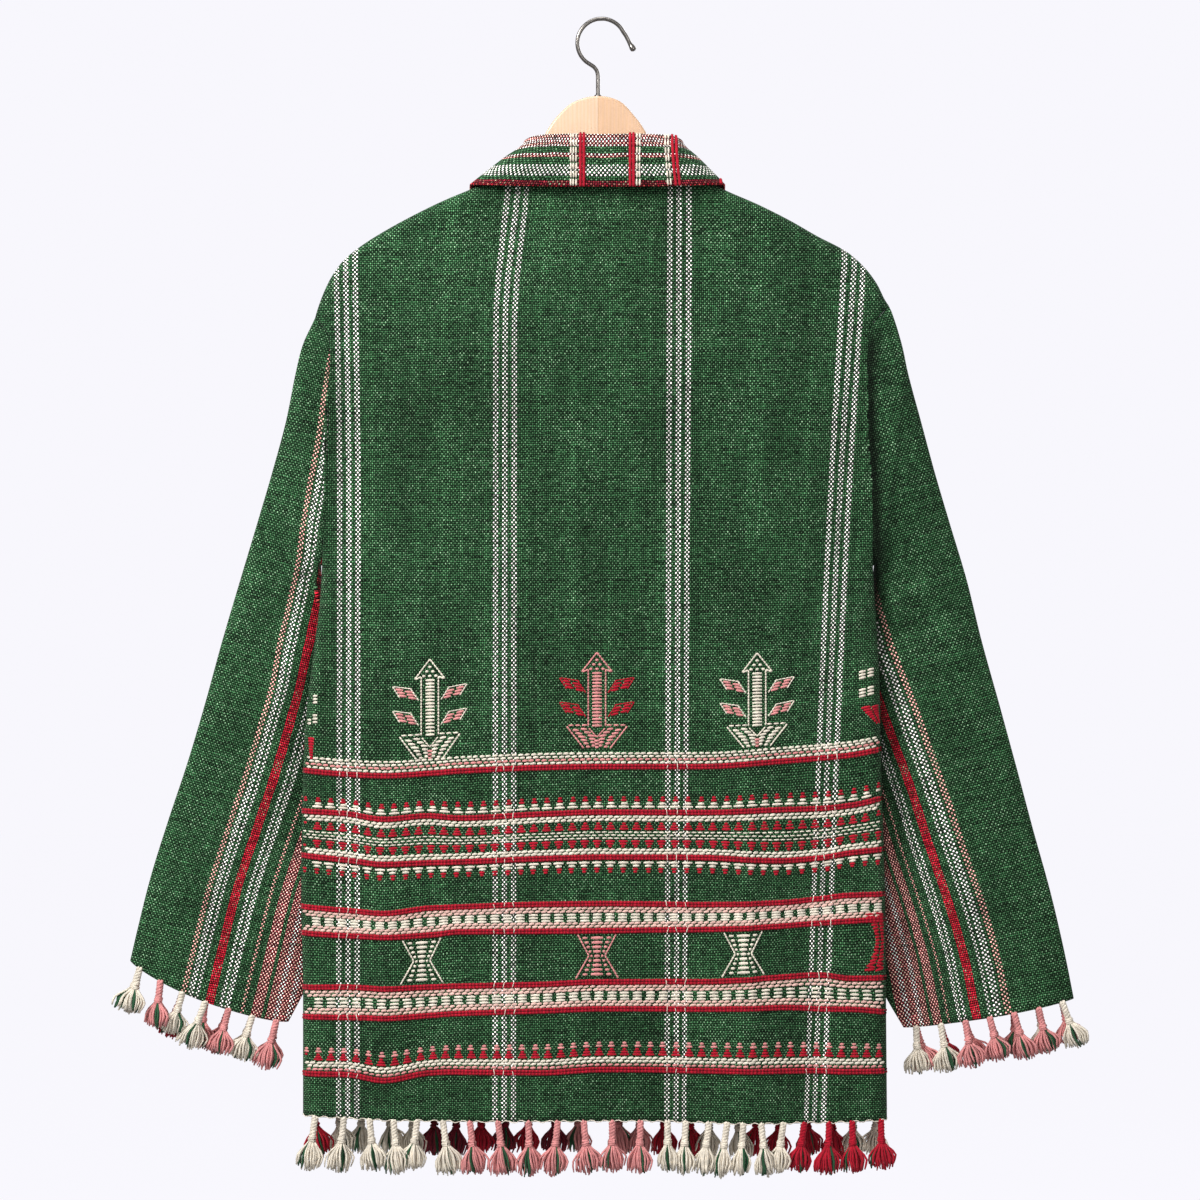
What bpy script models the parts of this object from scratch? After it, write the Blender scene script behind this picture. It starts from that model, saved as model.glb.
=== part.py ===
"""Hand-woven wool jacket hanging on a wooden hanger, seen from its back.

Frame: metres, +Z up. The origin is under the crown of the hanger's hook, where a
rail carries it. The jacket's back panel faces -Y, its open front faces +Y.
The tables below are read on a measuring grid of 0.9 mm steps, with its zero at
the upper left: gx() and gz() turn grid readings into metres.
"""
import math

import bpy
import numpy as np

GRID = 0.0009          # metres in one step of the measuring grid
GRID_X0 = 597.5        # grid column of the origin
GRID_Z0 = 20.0         # grid row of the origin
WALL = 0.002           # thickness of the wool cloth
PART = 0.00015         # half of the 0.3 mm left open at every seam
UNDERARM = 566.0       # grid row of both underarm points
TIP_L = (315.0, 318.0)  # left shoulder tip, where the armhole seam starts
TIP_R = (889.0, 306.0)
HEM_BACK = 1117.0
HEM_FRONT = 1107.0
ARMHOLE_DEPTH = 0.014  # half of the armhole's opening, front to back
SIDE_ROUND = 0.012     # how far in from a side edge the body tube turns
RIDGE_ROUND = 0.010    # radius of the cloth over the hanger's arm


def gx(p):
    return (np.asarray(p, float) - GRID_X0) * GRID


def gz(p):
    return (GRID_Z0 - np.asarray(p, float)) * GRID


def curve(xs, ys):
    """Smooth reader of a table: a cubic through its points that never overshoots."""
    xs, ys = np.asarray(xs, float), np.asarray(ys, float)
    h = np.diff(xs)
    d = np.diff(ys) / h
    m = np.zeros_like(ys)
    m[0], m[-1] = d[0], d[-1]
    both = d[:-1] * d[1:]
    total = d[:-1] + d[1:]
    m[1:-1] = np.where(both > 0, 2 * both / np.where(total == 0, 1, total), 0)

    def read(x):
        x = np.clip(np.asarray(x, float), xs[0], xs[-1])
        i = np.clip(np.searchsorted(xs, x) - 1, 0, len(xs) - 2)
        t = (x - xs[i]) / h[i]
        t2, t3 = t * t, t * t * t
        return ((2 * t3 - 3 * t2 + 1) * ys[i] + (t3 - 2 * t2 + t) * h[i] * m[i]
                + (3 * t2 - 2 * t3) * ys[i + 1] + (t3 - t2) * h[i] * m[i + 1])
    return read


def unit(v):
    v = np.asarray(v, float)
    return v / np.maximum(np.linalg.norm(v, axis=-1, keepdims=True), 1e-12)


def smooth(t):
    t = np.clip(t, 0, 1)
    return t * t * (3 - 2 * t)


def rounded(t):
    """Quarter circle: 0 at 0, 1 from 1 on."""
    return np.sqrt(np.clip(1 - (1 - np.clip(t, 0, 1)) ** 2, 0, 1))


# Shoulder line with the unseen ridge under the collar: grid column, grid row.
RIDGE = curve(
    [315, 318, 324, 332, 344, 364, 390, 420, 445, 469, 500, 515, 560, 603, 647, 690,
     705, 725, 757, 789, 817, 847, 865, 877, 885, 889],
    [318, 308, 292, 276, 260, 244, 228, 212, 200, 190, 176, 169, 156, 152, 156, 170,
     179, 190, 204, 220, 236, 252, 268, 284, 300, 306])
# Armhole edge and side seam: grid row, grid column.
EDGE_L = curve([318, 328, 339, 360, 381, 420, 500, 566, 600, 650, 700, 760, 900, 1000, 1117],
               [315, 323, 330, 331, 330, 328, 326, 322, 320, 314, 308, 303.5, 301, 303, 303])
EDGE_R = curve([306, 318, 330, 350, 381, 420, 500, 566, 650, 700, 760, 900, 1000, 1117],
               [889, 878, 869, 867, 866, 866, 871, 873, 878, 880, 881, 885, 886, 887])
NECK_L, NECK_R = 515.0, 690.0
NECK_BACK = curve([515, 518, 524, 534, 545, 573, 603, 632, 661, 671, 681, 687, 690],
                  [169, 171.2, 173.4, 175.6, 177.3, 179.8, 180.5, 179.8, 177.5, 176, 174, 172, 170])
NECK_FRONT = curve([515, 518, 524, 535, 552, 573, 585, 595, 601, 612, 625, 646, 670, 681, 687, 690],
                   [169, 176, 184, 197, 216, 235, 244, 249, 249, 244, 235, 216, 197, 185, 177, 170])
OPEN_L = curve([250, 560, 1107], [595, 594.5, 591])
OPEN_R = curve([250, 560, 1107], [601, 601.5, 605])
# Largest soft folds of the hanging panels: grid column, half width, metres outward.
FOLDS_BACK = [(388, 20, 0.0030), (436, 24, -0.0028), (560, 42, 0.0018), (664, 34, -0.0020),
              (748, 24, 0.0032), (806, 26, -0.0022)]
FOLDS_FRONT = [(400, 30, 0.0028), (470, 30, -0.0024), (545, 26, 0.0026), (650, 28, 0.0026),
               (720, 30, -0.0024), (800, 30, 0.0026)]


def depth(front, px, py, s, lens):
    """How far a body panel stands off the plane y = 0.

    px, py: grid place; s: metres in from the side edge; lens: depth at that edge."""
    slope = (RIDGE(px + 0.5) - RIDGE(px - 0.5))
    lean = 1 / np.sqrt(1 + slope * slope)
    below = np.maximum((py - RIDGE(px)) * GRID, 0)
    below = below * (lean + (1 - lean) * np.clip(below / 0.06, 0, 1))
    belly = (0.0005, 0.012) if front else (0.001, 0.0145)
    base = (RIDGE_ROUND * rounded(below / RIDGE_ROUND)
            + (belly[0] + belly[1] * np.sin(math.pi / 2 * np.clip(s / 0.2, 0, 1)))
            * smooth(below / 0.17))
    fade = smooth((py - 560) / 420)
    for centre, half, out in (FOLDS_FRONT if front else FOLDS_BACK):
        base = base + out * np.exp(-((px - centre) / half) ** 2) * fade
    w = rounded(s / SIDE_ROUND)
    return lens * (1 - w) + base * w


def hem_row(front, px):
    base = HEM_FRONT if front else HEM_BACK
    return base + 1.6 * np.sin((px - 330) / 62.0) + 2.0 * np.sin((px - 500) / 140.0)


def row_places(q, side):
    """Grid place of a side edge at row q: 0 shoulder tip, 1 underarm, 2 hem."""
    tip = TIP_L if side < 0 else TIP_R
    edge = EDGE_L if side < 0 else EDGE_R
    py = np.where(q <= 1, tip[1] + (UNDERARM - tip[1]) * q,
                  UNDERARM + (HEM_BACK - UNDERARM) * (q - 1))
    return edge(py), py


def lens_at(q):
    q = np.clip(q, 0, 1)
    return ARMHOLE_DEPTH * (2 * np.sqrt(q * (1 - q))) ** 0.85


def armhole(side, front, q):
    """Armhole seam: points, direction out along the sleeve, and outward normals."""
    q = np.asarray(q, float)
    px, py = row_places(q, side)
    way = 1.0 if front else -1.0
    p0 = np.stack([gx(px), way * lens_at(q), gz(py)], -1)
    bulge = 2 * np.sqrt(np.clip(q * (1 - q), 0, 1))
    p1 = np.stack([p0[:, 0] + side * (0.0025 + 0.002 * bulge), p0[:, 1] * (1 - 0.35 * bulge ** 2),
                   p0[:, 2] - 0.0055 * (1 - q) ** 3 + 0.0025 * q ** 8], -1)
    out = unit(p1 - p0)
    along = np.gradient(p0, axis=0)
    n = np.cross(out, along)
    for k in (0, len(q) - 1):
        n[k] = (out[k][2], 0, -out[k][0])
    n = unit(n)
    flip = np.sign(n[:, 0] * side + n[:, 1] * way * 0.5)
    return p0, p1, out, n * np.where(flip == 0, 1, flip)[:, None]


def grid_normals(p, wrap=False):
    """Normals of a grid of points (rows, columns, xyz) from its own differences."""
    a = np.gradient(p, axis=0)
    if wrap:
        b = (np.roll(p, -1, axis=1) - np.roll(p, 1, axis=1)) / 2
    else:
        b = np.gradient(p, axis=1)
    return unit(np.cross(a, b))


UPPER = [0.0, 0.006] + [(1 - math.cos(math.pi * k / 10)) / 2 for k in range(1, 11)]
ROWS = np.array(UPPER + [1 + k / 9 for k in range(1, 10)])


def body_panel(name, columns, rows=ROWS):
    """Outer points and normals of a body panel. columns: grid columns on its top edge."""
    front = name != "back"
    way = 1.0 if front else -1.0
    c = np.asarray(columns, float)
    lo = TIP_L[0] if name != "front_right" else 601.0
    hi = TIP_R[0] if name != "front_left" else 595.0
    frac = (c - lo) / (hi - lo)
    lx, _ = row_places(rows, -1)
    rx, _ = row_places(rows, 1)
    mid_row = np.where(rows <= 1, 250 + (UNDERARM - 250) * rows,
                       UNDERARM + (HEM_BACK - UNDERARM) * (rows - 1))
    a = lx if name != "front_right" else OPEN_R(mid_row)
    b = rx if name != "front_left" else OPEN_L(mid_row)
    px = a[:, None] + (b - a)[:, None] * frac[None, :]
    neck = NECK_FRONT if front else NECK_BACK
    top = np.where((c > NECK_L) & (c < NECK_R), neck(c), RIDGE(c))
    hem = hem_row(front, px)
    q = rows[:, None]
    py = np.where(q <= 1, top[None, :] + (UNDERARM - top[None, :]) * q,
                  UNDERARM + (hem - UNDERARM) * (q - 1))
    s = np.minimum(px - lx[:, None], rx[:, None] - px) * GRID
    y = way * np.maximum(depth(front, px, py, np.maximum(s, 0), lens_at(q) + 0 * px), PART)
    p = np.stack([gx(px), y, gz(py)], -1)
    n = grid_normals(p)
    n = n * np.sign(n[..., 1:2] * way + 1e-9)
    ridge = ((c <= NECK_L) | (c >= NECK_R)) & (rows[0] == 0)
    if rows[0] == 0:
        slope = (RIDGE(c + 0.5) - RIDGE(c - 0.5))
        up = unit(np.stack([slope, 0 * slope, np.ones_like(slope)], -1))
        n[0][ridge] = up[ridge]
        p[0, ridge, 1] = way * PART
    for side, col in ((-1, 0), (1, -1)):
        if (side < 0 and name == "front_right") or (side > 0 and name == "front_left"):
            continue
        upper = rows <= 1
        _, _, out, an = armhole(side, front, rows[upper]) if upper.sum() > 2 else (0, 0, None, None)
        if out is not None:
            p[upper, col] -= PART * out
            n[upper, col] = an
        n[~upper, col] = (side, 0, 0)
        p[rows >= 1, col, 1] = way * PART
    return p, n


BACK_COLUMNS = [315, 317.8, 322.8, 330.6, 345, 365, 395, 430, 472, 515, 518, 524, 534, 545, 573, 603,
                632, 661, 671, 681, 687, 690, 733, 775, 809, 839, 859, 873.4, 881.2, 886.2, 889]
LEFT_COLUMNS = [315, 317.8, 322.8, 330.6, 345, 365, 395, 430, 472, 515, 518, 524, 535, 552, 573, 595]
RIGHT_COLUMNS = [601, 625, 646, 670, 681, 687, 690, 733, 775, 809, 839, 859, 873.4, 881.2, 886.2, 889]

# Sleeve sections from the seam's second ring to the cuff. Columns: outer edge's grid
# column, row and y in mm; inner edge's grid column, row and y in mm; half depth in mm;
# how far the middle sags towards the hand, in mm.
SLEEVE_L = [
    (304, 343, 1.0, 318.5, 573, 4.0, 13.0, 0), (297, 370, 2.5, 318.5, 590, 9.5, 13.0, 0),
    (286, 420, 4.0, 321.0, 613, 15.0, 13.0, 0), (271, 474, 6.0, 331, 640, 20.5, 12.5, 0),
    (256, 524, 8.0, 349, 668, 25.5, 12.0, 0), (239, 580, 10.0, 364, 702, 28.5, 11.5, 0),
    (221, 640, 12.0, 369, 742, 31.0, 11.0, 0), (203, 705, 13.0, 366, 786, 32.0, 10.5, 1),
    (185, 765, 14.0, 357, 835, 32.0, 10.0, 3), (166, 822, 14.0, 344, 885, 31.0, 10.0, 5),
    (148, 880, 14.0, 326, 936, 30.0, 9.5, 7), (135, 932, 14.0, 306, 986, 28.0, 9.5, 9),
    (128, 962, 14.0, 286, 1025, 26.0, 9.5, 10)]
SLEEVE_R = [
    (901, 343, 1.0, 876.0, 573, 4.0, 13.0, 0), (907, 370, 2.5, 876.5, 590, 9.5, 13.0, 0),
    (921, 420, 4.0, 874.0, 613, 15.0, 13.0, 0), (936, 474, 6.0, 863, 640, 20.5, 12.5, 0),
    (951, 524, 8.0, 844, 668, 25.5, 12.0, 0), (968, 580, 10.0, 829, 703, 28.5, 11.5, 0),
    (983, 640, 12.0, 823, 745, 31.0, 11.0, 0), (1002, 708, 13.0, 826, 795, 32.0, 10.5, 0),
    (1019, 770, 14.0, 834, 846, 32.0, 10.0, 1), (1035, 830, 14.0, 848, 898, 31.0, 10.0, 2),
    (1053, 895, 14.0, 866, 948, 30.0, 9.5, 3), (1067, 955, 14.0, 886, 996, 28.0, 9.5, 4),
    (1076, 1000, 14.0, 906, 1031, 26.0, 9.5, 4)]


def sleeve_sections(side, q):
    """Rings of a sleeve as (ring, point, xyz): back half from shoulder to underarm
    along q, then the front half back again."""
    q = np.asarray(q, float)
    rings = []
    b0, b1, bo, bn = armhole(side, False, q)
    f0, f1, fo, fn = armhole(side, True, q)

    def loop(b, f):
        return np.concatenate([b, f[-2:0:-1]])
    rings.append(loop(b0 + PART * bo, f0 + PART * fo))
    rings.append(loop(b1, f1))
    seam_n = loop(bn, fn)
    table = np.array(SLEEVE_L if side < 0 else SLEEVE_R, float)
    outer = np.stack([gx(table[:, 0]), table[:, 2] / 1000, gz(table[:, 1])], -1)
    inner = np.stack([gx(table[:, 3]), table[:, 5] / 1000, gz(table[:, 4])], -1)
    mid = np.concatenate([[rings[1].mean(0)], (outer + inner) / 2])
    axis = unit(np.gradient(mid, axis=0))[1:]
    wide = (2 * np.sqrt(np.clip(q * (1 - q), 0, 1)))
    for k in range(len(table)):
        chord = inner[k] - outer[k]
        n = unit(np.cross(chord, axis[k]))
        n = n * (-1 if n[1] > 0 else 1)
        half, sag = table[k, 6] / 1000, table[k, 7] / 1000
        line = outer[k] + q[:, None] * chord + (sag * wide ** 1.5)[:, None] * axis[k]
        flat = 1 - (0.0, 0.0, 0.15, 0.4, 0.55)[min(k, 4)] * smooth((q - 0.35) / 0.4)
        b = line + (half * wide ** 0.85 * flat)[:, None] * n
        f = line - (half * wide ** 0.85)[:, None] * n
        rings.append(loop(b, f))
    return np.array(rings), seam_n


# Collar, from the back's centre to the opening. Columns: place along, fold's grid column,
# y in mm and row, outer edge's grid column, y in mm and row, grid column of its neck seam.
COLLAR = np.array([
    (0.00, 603.5, -19.5, 140.6, 603.5, -23.0, 189.5, 603), (0.12, 572, -19.3, 140.2, 560, -23.0, 189.5, 575),
    (0.24, 546, -17.0, 140.5, 515, -22.5, 188.5, 545), (0.34, 531, -10.0, 142, 484, -17.0, 186.5, 524),
    (0.42, 526.5, -1.0, 145, 470, -3.0, 184.6, 515), (0.52, 529, 8.5, 154, 469, 13.0, 193.0, 519),
    (0.64, 541, 15.0, 173, 478, 20.0, 222, 531), (0.78, 562, 19.0, 200, 502, 22.5, 258, 552),
    (0.90, 581, 21.0, 222, 530, 25.0, 286, 574), (1.00, 593, 22.0, 236, 556, 27.5, 306, 594.5)], float)
COLLAR_MORE = [.06, .17, .66, .79, .93]  # places added between those of the body's neck edge
FOLD_R = 0.0032        # outer radius of the collar's fold


def neck_seam(p_back, n_back, left, right):
    """The body's neck edge as one line from the left opening round the back to the right:
    outer and inner points."""
    keep = [i for i, c in enumerate(BACK_COLUMNS) if NECK_L <= c <= NECK_R]
    kl = [i for i, c in enumerate(LEFT_COLUMNS) if c > NECK_L][::-1]
    kr = [i for i, c in enumerate(RIGHT_COLUMNS) if c < NECK_R][::-1]
    outer = np.concatenate([left[0][0][kl], p_back[0][keep], right[0][0][kr]])
    normal = np.concatenate([left[1][0][kl], n_back[0][keep], right[1][0][kr]])
    return outer, outer - WALL * normal


def collar_grid(seam_outer, seam_inner):
    """Collar's top side (neck side of the stand, over the fold, down the fall) as
    (along, across, xyz), with the under side's points."""
    # places along the seam: every corner of the body's neck edge, and a few between
    seg = np.linalg.norm(np.diff(seam_outer, axis=0), axis=1)
    s = np.concatenate([[0], np.cumsum(seg)])
    nl = int(np.argmin(np.abs(seam_outer[:, 0] - gx(NECK_L)) + 9 * np.abs(seam_outer[:, 1])))
    nr = int(np.argmin(np.abs(seam_outer[:, 0] - gx(NECK_R)) + 9 * np.abs(seam_outer[:, 1])))
    marks = [s[0], s[nl], (s[nl] + s[nr]) / 2, s[nr], s[-1]]
    corners = np.interp(s, marks, [-1, -0.42, 0, 0.42, 1])
    t = np.array(sorted(list(corners) + COLLAR_MORE + [-v for v in COLLAR_MORE]))
    side = np.where(t < 0, -1.0, 1.0)
    a = np.abs(t)
    read = [curve(COLLAR[:, 0], COLLAR[:, k]) for k in range(1, 8)]
    fx, fy, fz, ex, ey, ez, sx = [r(a) for r in read]
    centre = 603.5 - 5.5 * smooth((a - 0.42) / 0.58)
    fx = np.where(side < 0, fx, 2 * centre - fx)
    ex = np.where(side < 0, ex, centre + (centre - ex) * (0.91 + 0.09 * smooth((a - .55) / .45)))
    fold = np.stack([gx(fx), fy / 1000, gz(fz)], -1)
    edge = np.stack([gx(ex), ey / 1000, gz(ez)], -1)
    place = np.interp(t, [-1, -0.42, 0, 0.42, 1], marks)
    so = np.stack([np.interp(place, s, seam_outer[:, k]) for k in range(3)], -1)
    si = np.stack([np.interp(place, s, seam_inner[:, k]) for k in range(3)], -1)
    px = so[:, 0] / GRID + GRID_X0
    lean = (centre - px) / 88
    up = unit(np.stack([1.5 * lean * np.abs(lean), 0 * px, np.ones_like(px)], -1)) * 2.4 * PART
    so, si = so + up, si + up
    tangent = unit(np.gradient(fold, axis=0))
    outw = np.cross(tangent, (0, 0, 1.0))
    outw = unit(outw)
    outw = outw * np.sign((outw * (edge - so)).sum(-1, keepdims=True))
    f_in = fold - outw * FOLD_R
    f_out = fold + outw * FOLD_R
    top = fold + np.array([0, 0, FOLD_R])
    cols = [si, si + (f_in - si) * 0.5, f_in, fold - outw * FOLD_R * .7 + np.array([0, 0, FOLD_R * .7]), top,
            fold + outw * FOLD_R * .7 + np.array([0, 0, FOLD_R * .7]), f_out,
            f_out + (edge - f_out) * 0.33, f_out + (edge - f_out) * 0.68, edge]
    p = np.stack(cols, 1)
    bow = np.array([0, 0.0, 0, 0, 0, 0, 0, 0.0012, 0.0010, 0])
    p = p + bow[None, :, None] * outw[:, None, :]
    n = grid_normals(p)
    mid = n[len(t) // 2, 8]
    n = n * (1 if mid[1] < 0 else -1)
    under = p - WALL * n
    under[:, 0] = so
    return p, under


def build(name, verts, faces, colour, rough=0.85, metal=0.0):
    mesh = bpy.data.meshes.new(name)
    mesh.from_pydata([tuple(map(float, v)) for v in verts], [], [tuple(map(int, f)) for f in faces])
    mesh.validate()
    mesh.update()
    ob = bpy.data.objects.new(name, mesh)
    JACKET.objects.link(ob)
    mat = bpy.data.materials.new(name + "_look")
    mat.use_nodes = True
    bsdf = mat.node_tree.nodes["Principled BSDF"]
    bsdf.inputs["Base Color"].default_value = (*colour, 1)
    bsdf.inputs["Roughness"].default_value = rough
    bsdf.inputs["Metallic"].default_value = metal
    mat.diffuse_color = (*colour, 1)
    mesh.materials.append(mat)
    return ob


def signed_volume(verts, faces):
    v = np.asarray(verts, float)
    total = 0.0
    for f in faces:
        for k in range(1, len(f) - 1):
            total += np.dot(v[f[0]], np.cross(v[f[k]], v[f[k + 1]]))
    return total / 6


def shell_mesh(outer, inner, wrap=False):
    """Closed wall between two grids of points: both faces and the rims."""
    rows, cols = outer.shape[:2]
    verts = np.concatenate([outer.reshape(-1, 3), inner.reshape(-1, 3)])
    off = rows * cols

    def at(i, j):
        return i * cols + j % cols

    def rim(a, b):
        """Edge wall from a to b, cut the same way on both sides of a seam."""
        if verts[a][2] > verts[b][2]:
            return [(a, b, b + off), (a, b + off, a + off)]
        return [(a, b, a + off), (b, b + off, a + off)]
    faces = []
    span = cols if wrap else cols - 1
    for i in range(rows - 1):
        for j in range(span):
            a, b, c, d = at(i, j), at(i, j + 1), at(i + 1, j + 1), at(i + 1, j)
            faces.append((a, b, c, d))
            faces.append((a + off, d + off, c + off, b + off))
    for j in range(span):
        faces += rim(at(0, j + 1), at(0, j))
        faces += rim(at(rows - 1, j), at(rows - 1, j + 1))
    if not wrap:
        for i in range(rows - 1):
            faces += rim(at(i, 0), at(i + 1, 0))
            faces += rim(at(i + 1, cols - 1), at(i, cols - 1))
    if signed_volume(verts, faces) < 0:
        faces = [f[::-1] for f in faces]
    return verts, faces


# Tassel levels below its strip: metres down, half width, half depth.
TASSEL = [(0.0170, 0.0011, 0.0011), (0.0190, 0.0027, 0.0025), (0.0225, 0.0025, 0.0023),
          (0.0250, 0.0034, 0.0024)]
STRIP_HIGH = 0.003


def fringe(outer, inner, places, reach, ring=False, lean=(0, 0, -1.0), seed=1):
    """A narrow strip under a cloth edge, with tassels fused into its lower side.

    outer, inner: the cloth edge's two corner lines; places: lengths along the edge
    of each tassel; reach: how far each one may spread to either side."""
    rng = np.random.default_rng(seed)
    line = np.concatenate([outer, outer[:1]]) if ring else outer
    other = np.concatenate([inner, inner[:1]]) if ring else inner
    seg = np.linalg.norm(np.diff(line, axis=0), axis=1)
    s = np.concatenate([[0], np.cumsum(seg)])
    half = 0.0013
    cuts = []
    for p in places:
        cuts += [p - half, p + half]
    if ring:
        cuts = sorted(c % s[-1] for c in cuts)
        joints = sorted(set(round(float(v), 7) for v in s[:-1]
                            if all(abs(v - c) > 0.0012 and abs(v - c - s[-1]) > .0012 for c in cuts)
                            and all(abs((v - p + s[-1] / 2) % s[-1] - s[-1] / 2) > half for p in places)))
        cuts = sorted(cuts + joints)
    else:
        cuts = [s[0] + 0.0006] + cuts + [s[-1] - 0.0006]
    cuts = np.array(cuts)
    lean = np.array(lean, float) + 0 * outer
    lean = np.concatenate([lean, lean[:1]]) if ring else lean
    down = unit(np.stack([np.interp(cuts, s, lean[:, k]) for k in range(3)], -1))
    drop = down * (3 * PART if ring else 2 * PART)
    o = np.stack([np.interp(cuts, s, line[:, k]) for k in range(3)], -1) + drop
    i = np.stack([np.interp(cuts, s, other[:, k]) for k in range(3)], -1) + drop
    n = len(cuts)
    verts = list(o) + list(i) + list(o + down * STRIP_HIGH) + list(i + down * STRIP_HIGH)
    faces = []
    span = n if ring else n - 1
    roots = []
    for k in range(span):
        a, b = k, (k + 1) % n
        if verts[a][2] > verts[b][2]:
            faces += [(a, b, b + n), (a, b + n, a + n)]
        else:
            faces += [(a, b, a + n), (b, b + n, a + n)]
        faces.append((b, a, a + 2 * n, b + 2 * n))
        faces.append((a + n, b + n, b + 3 * n, a + 3 * n))
        quad = (a + 2 * n, b + 2 * n, b + 3 * n, a + 3 * n)
        width = (cuts[b] - cuts[a]) % s[-1] if ring else cuts[b] - cuts[a]
        centre = (cuts[a] + width / 2) % s[-1] if ring else cuts[a] + width / 2
        near = [j for j, p in enumerate(places) if abs(centre - p) < 1e-4 or
                (ring and abs(abs(centre - p) - s[-1]) < 1e-4)]
        if near and abs(width - 2 * half) < 1e-5:
            roots.append((quad, near[0]))
        else:
            faces.append(quad[::-1])
    if not ring:
        faces.append((0, n, 3 * n, 2 * n))
        faces.append((n - 1, 3 * n - 1, 4 * n - 1, 2 * n - 1))
    for quad, j in roots:
        root = np.array([verts[v] for v in quad])
        base = root.mean(0)
        wide = unit(root[1] - root[0])
        wide = unit(np.array([wide[0], wide[1], 0]))
        thick = unit(root[3] - root[0])
        thick = unit(thick - wide * np.dot(thick, wide))
        sway = wide * rng.uniform(-0.0008, 0.0008)
        long = 1 + rng.uniform(-0.03, 0.05)
        spread = reach[j]
        prev = list(quad)
        for level, (dn, wx, wy) in enumerate(TASSEL):
            c = base + np.array([0, 0, -dn * long]) + sway * (dn / 0.025)
            w = min(wx, spread * 0.8)
            ring_pts = [c - wide * w - thick * wy, c + wide * w - thick * wy,
                        c + wide * w + thick * wy, c - wide * w + thick * wy]
            last = level == len(TASSEL) - 1
            start = len(verts)
            if not last:
                verts.extend(ring_pts)
                new = [start, start + 1, start + 2, start + 3]
                for k in range(4):
                    faces.append((prev[k], prev[(k + 1) % 4], new[(k + 1) % 4], new[k]))
                prev = new
                continue
            # three lock roots side by side with narrow lands between them
            gap = w * 0.10
            each = (2 * w - 2 * gap) / 3
            xs = [-w, -w + each, -w + each + gap, w - each - gap, w - each, w]
            lower = [c + wide * x - thick * wy for x in xs]
            upper = [c + wide * x + thick * wy for x in xs]
            verts.extend(lower + upper)
            lo = list(range(start, start + 6))
            hi = list(range(start + 6, start + 12))
            faces.append((prev[0], prev[1], *lo[::-1]))
            faces.append((prev[2], prev[3], *hi))
            faces.append((prev[1], prev[2], hi[5], lo[5]))
            faces.append((prev[3], prev[0], lo[0], hi[0]))
            for a, b in ((1, 2), (3, 4)):
                faces.append((lo[a], lo[b], hi[b], hi[a])[::-1])
            tip_w = spread / 3 * 0.86
            for m, (a, b) in enumerate(((0, 1), (2, 3), (4, 5))):
                x = (m - 1) * spread * 2 / 3
                dn = (0.048 + rng.uniform(-0.003, 0.002)) * long
                tc = base + np.array([0, 0, -dn]) + sway * 1.6 + wide * x * 0.96
                ty = 0.0017
                st = len(verts)
                verts.extend([tc - wide * tip_w - thick * ty, tc + wide * tip_w - thick * ty,
                              tc + wide * tip_w + thick * ty, tc - wide * tip_w + thick * ty])
                r = [lo[a], lo[b], hi[b], hi[a]]
                e = [st, st + 1, st + 2, st + 3]
                for k in range(4):
                    faces.append((r[k], r[(k + 1) % 4], e[(k + 1) % 4], e[k]))
                faces.append(tuple(e[::-1]))
    return verts, faces


def consistent(name, verts, faces, colour, rough=0.9):
    """Builds the mesh, with every face turned outward by the modeller's own solver."""
    import bmesh
    ob = build(name, verts, faces, colour, rough)
    bm = bmesh.new()
    bm.from_mesh(ob.data)
    bmesh.ops.recalc_face_normals(bm, faces=bm.faces)
    bmesh.ops.triangulate(bm, faces=[f for f in bm.faces if len(f.verts) > 4])
    bm.to_mesh(ob.data)
    bm.free()
    return ob


def tube(path, radii, around=8):
    """A round wire along a path in the XZ plane, closed at both ends."""
    path = np.asarray(path, float)
    tangent = unit(np.gradient(path, axis=0))
    side = np.array([0, 1.0, 0])
    verts, faces = [], []
    for p, t, r in zip(path, tangent, radii):
        n = unit(np.cross(side, t))
        for k in range(around):
            a = 2 * math.pi * k / around
            verts.append(p + r * (math.cos(a) * n + math.sin(a) * side))
    rings = len(path)
    for i in range(rings - 1):
        for k in range(around):
            a, b = i * around + k, i * around + (k + 1) % around
            faces.append((a, b, b + around, a + around))
    faces.append(tuple(range(around))[::-1])
    faces.append(tuple(range((rings - 1) * around, rings * around)))
    if signed_volume(verts, faces) < 0:
        faces = [f[::-1] for f in faces]
    return verts, faces


# Domed head of the wooden hanger, left outline: grid column, grid row.
HEAD_L = [(598, 96.6), (590, 97.2), (580, 100), (571, 104), (565, 109), (558, 116), (553, 122),
          (549, 128), (545.5, 134), (544.5, 143), (544, 152), (543, 161), (540, 170), (534, 179),
          (524, 187), (508, 193.5), (490, 198.5)]
HEAD_R = [(606, 97.2), (616, 100), (623, 104), (629, 110), (634, 116), (639, 122), (643, 128),
          (646.5, 134), (648.5, 143), (649.5, 152), (651, 161), (654.5, 170), (661, 179), (672, 187.5),
          (688, 194), (706, 199)]
WOOD_HALF = 0.006      # half thickness of the wood


def under_ridge(c):
    """Grid row of the wood's top edge, under the cloth's shoulder line."""
    slope = float(RIDGE(c + 4) - RIDGE(c - 4)) / 8
    return float(RIDGE(c)) + 6.05 * math.sqrt(1 + slope * slope)


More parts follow.
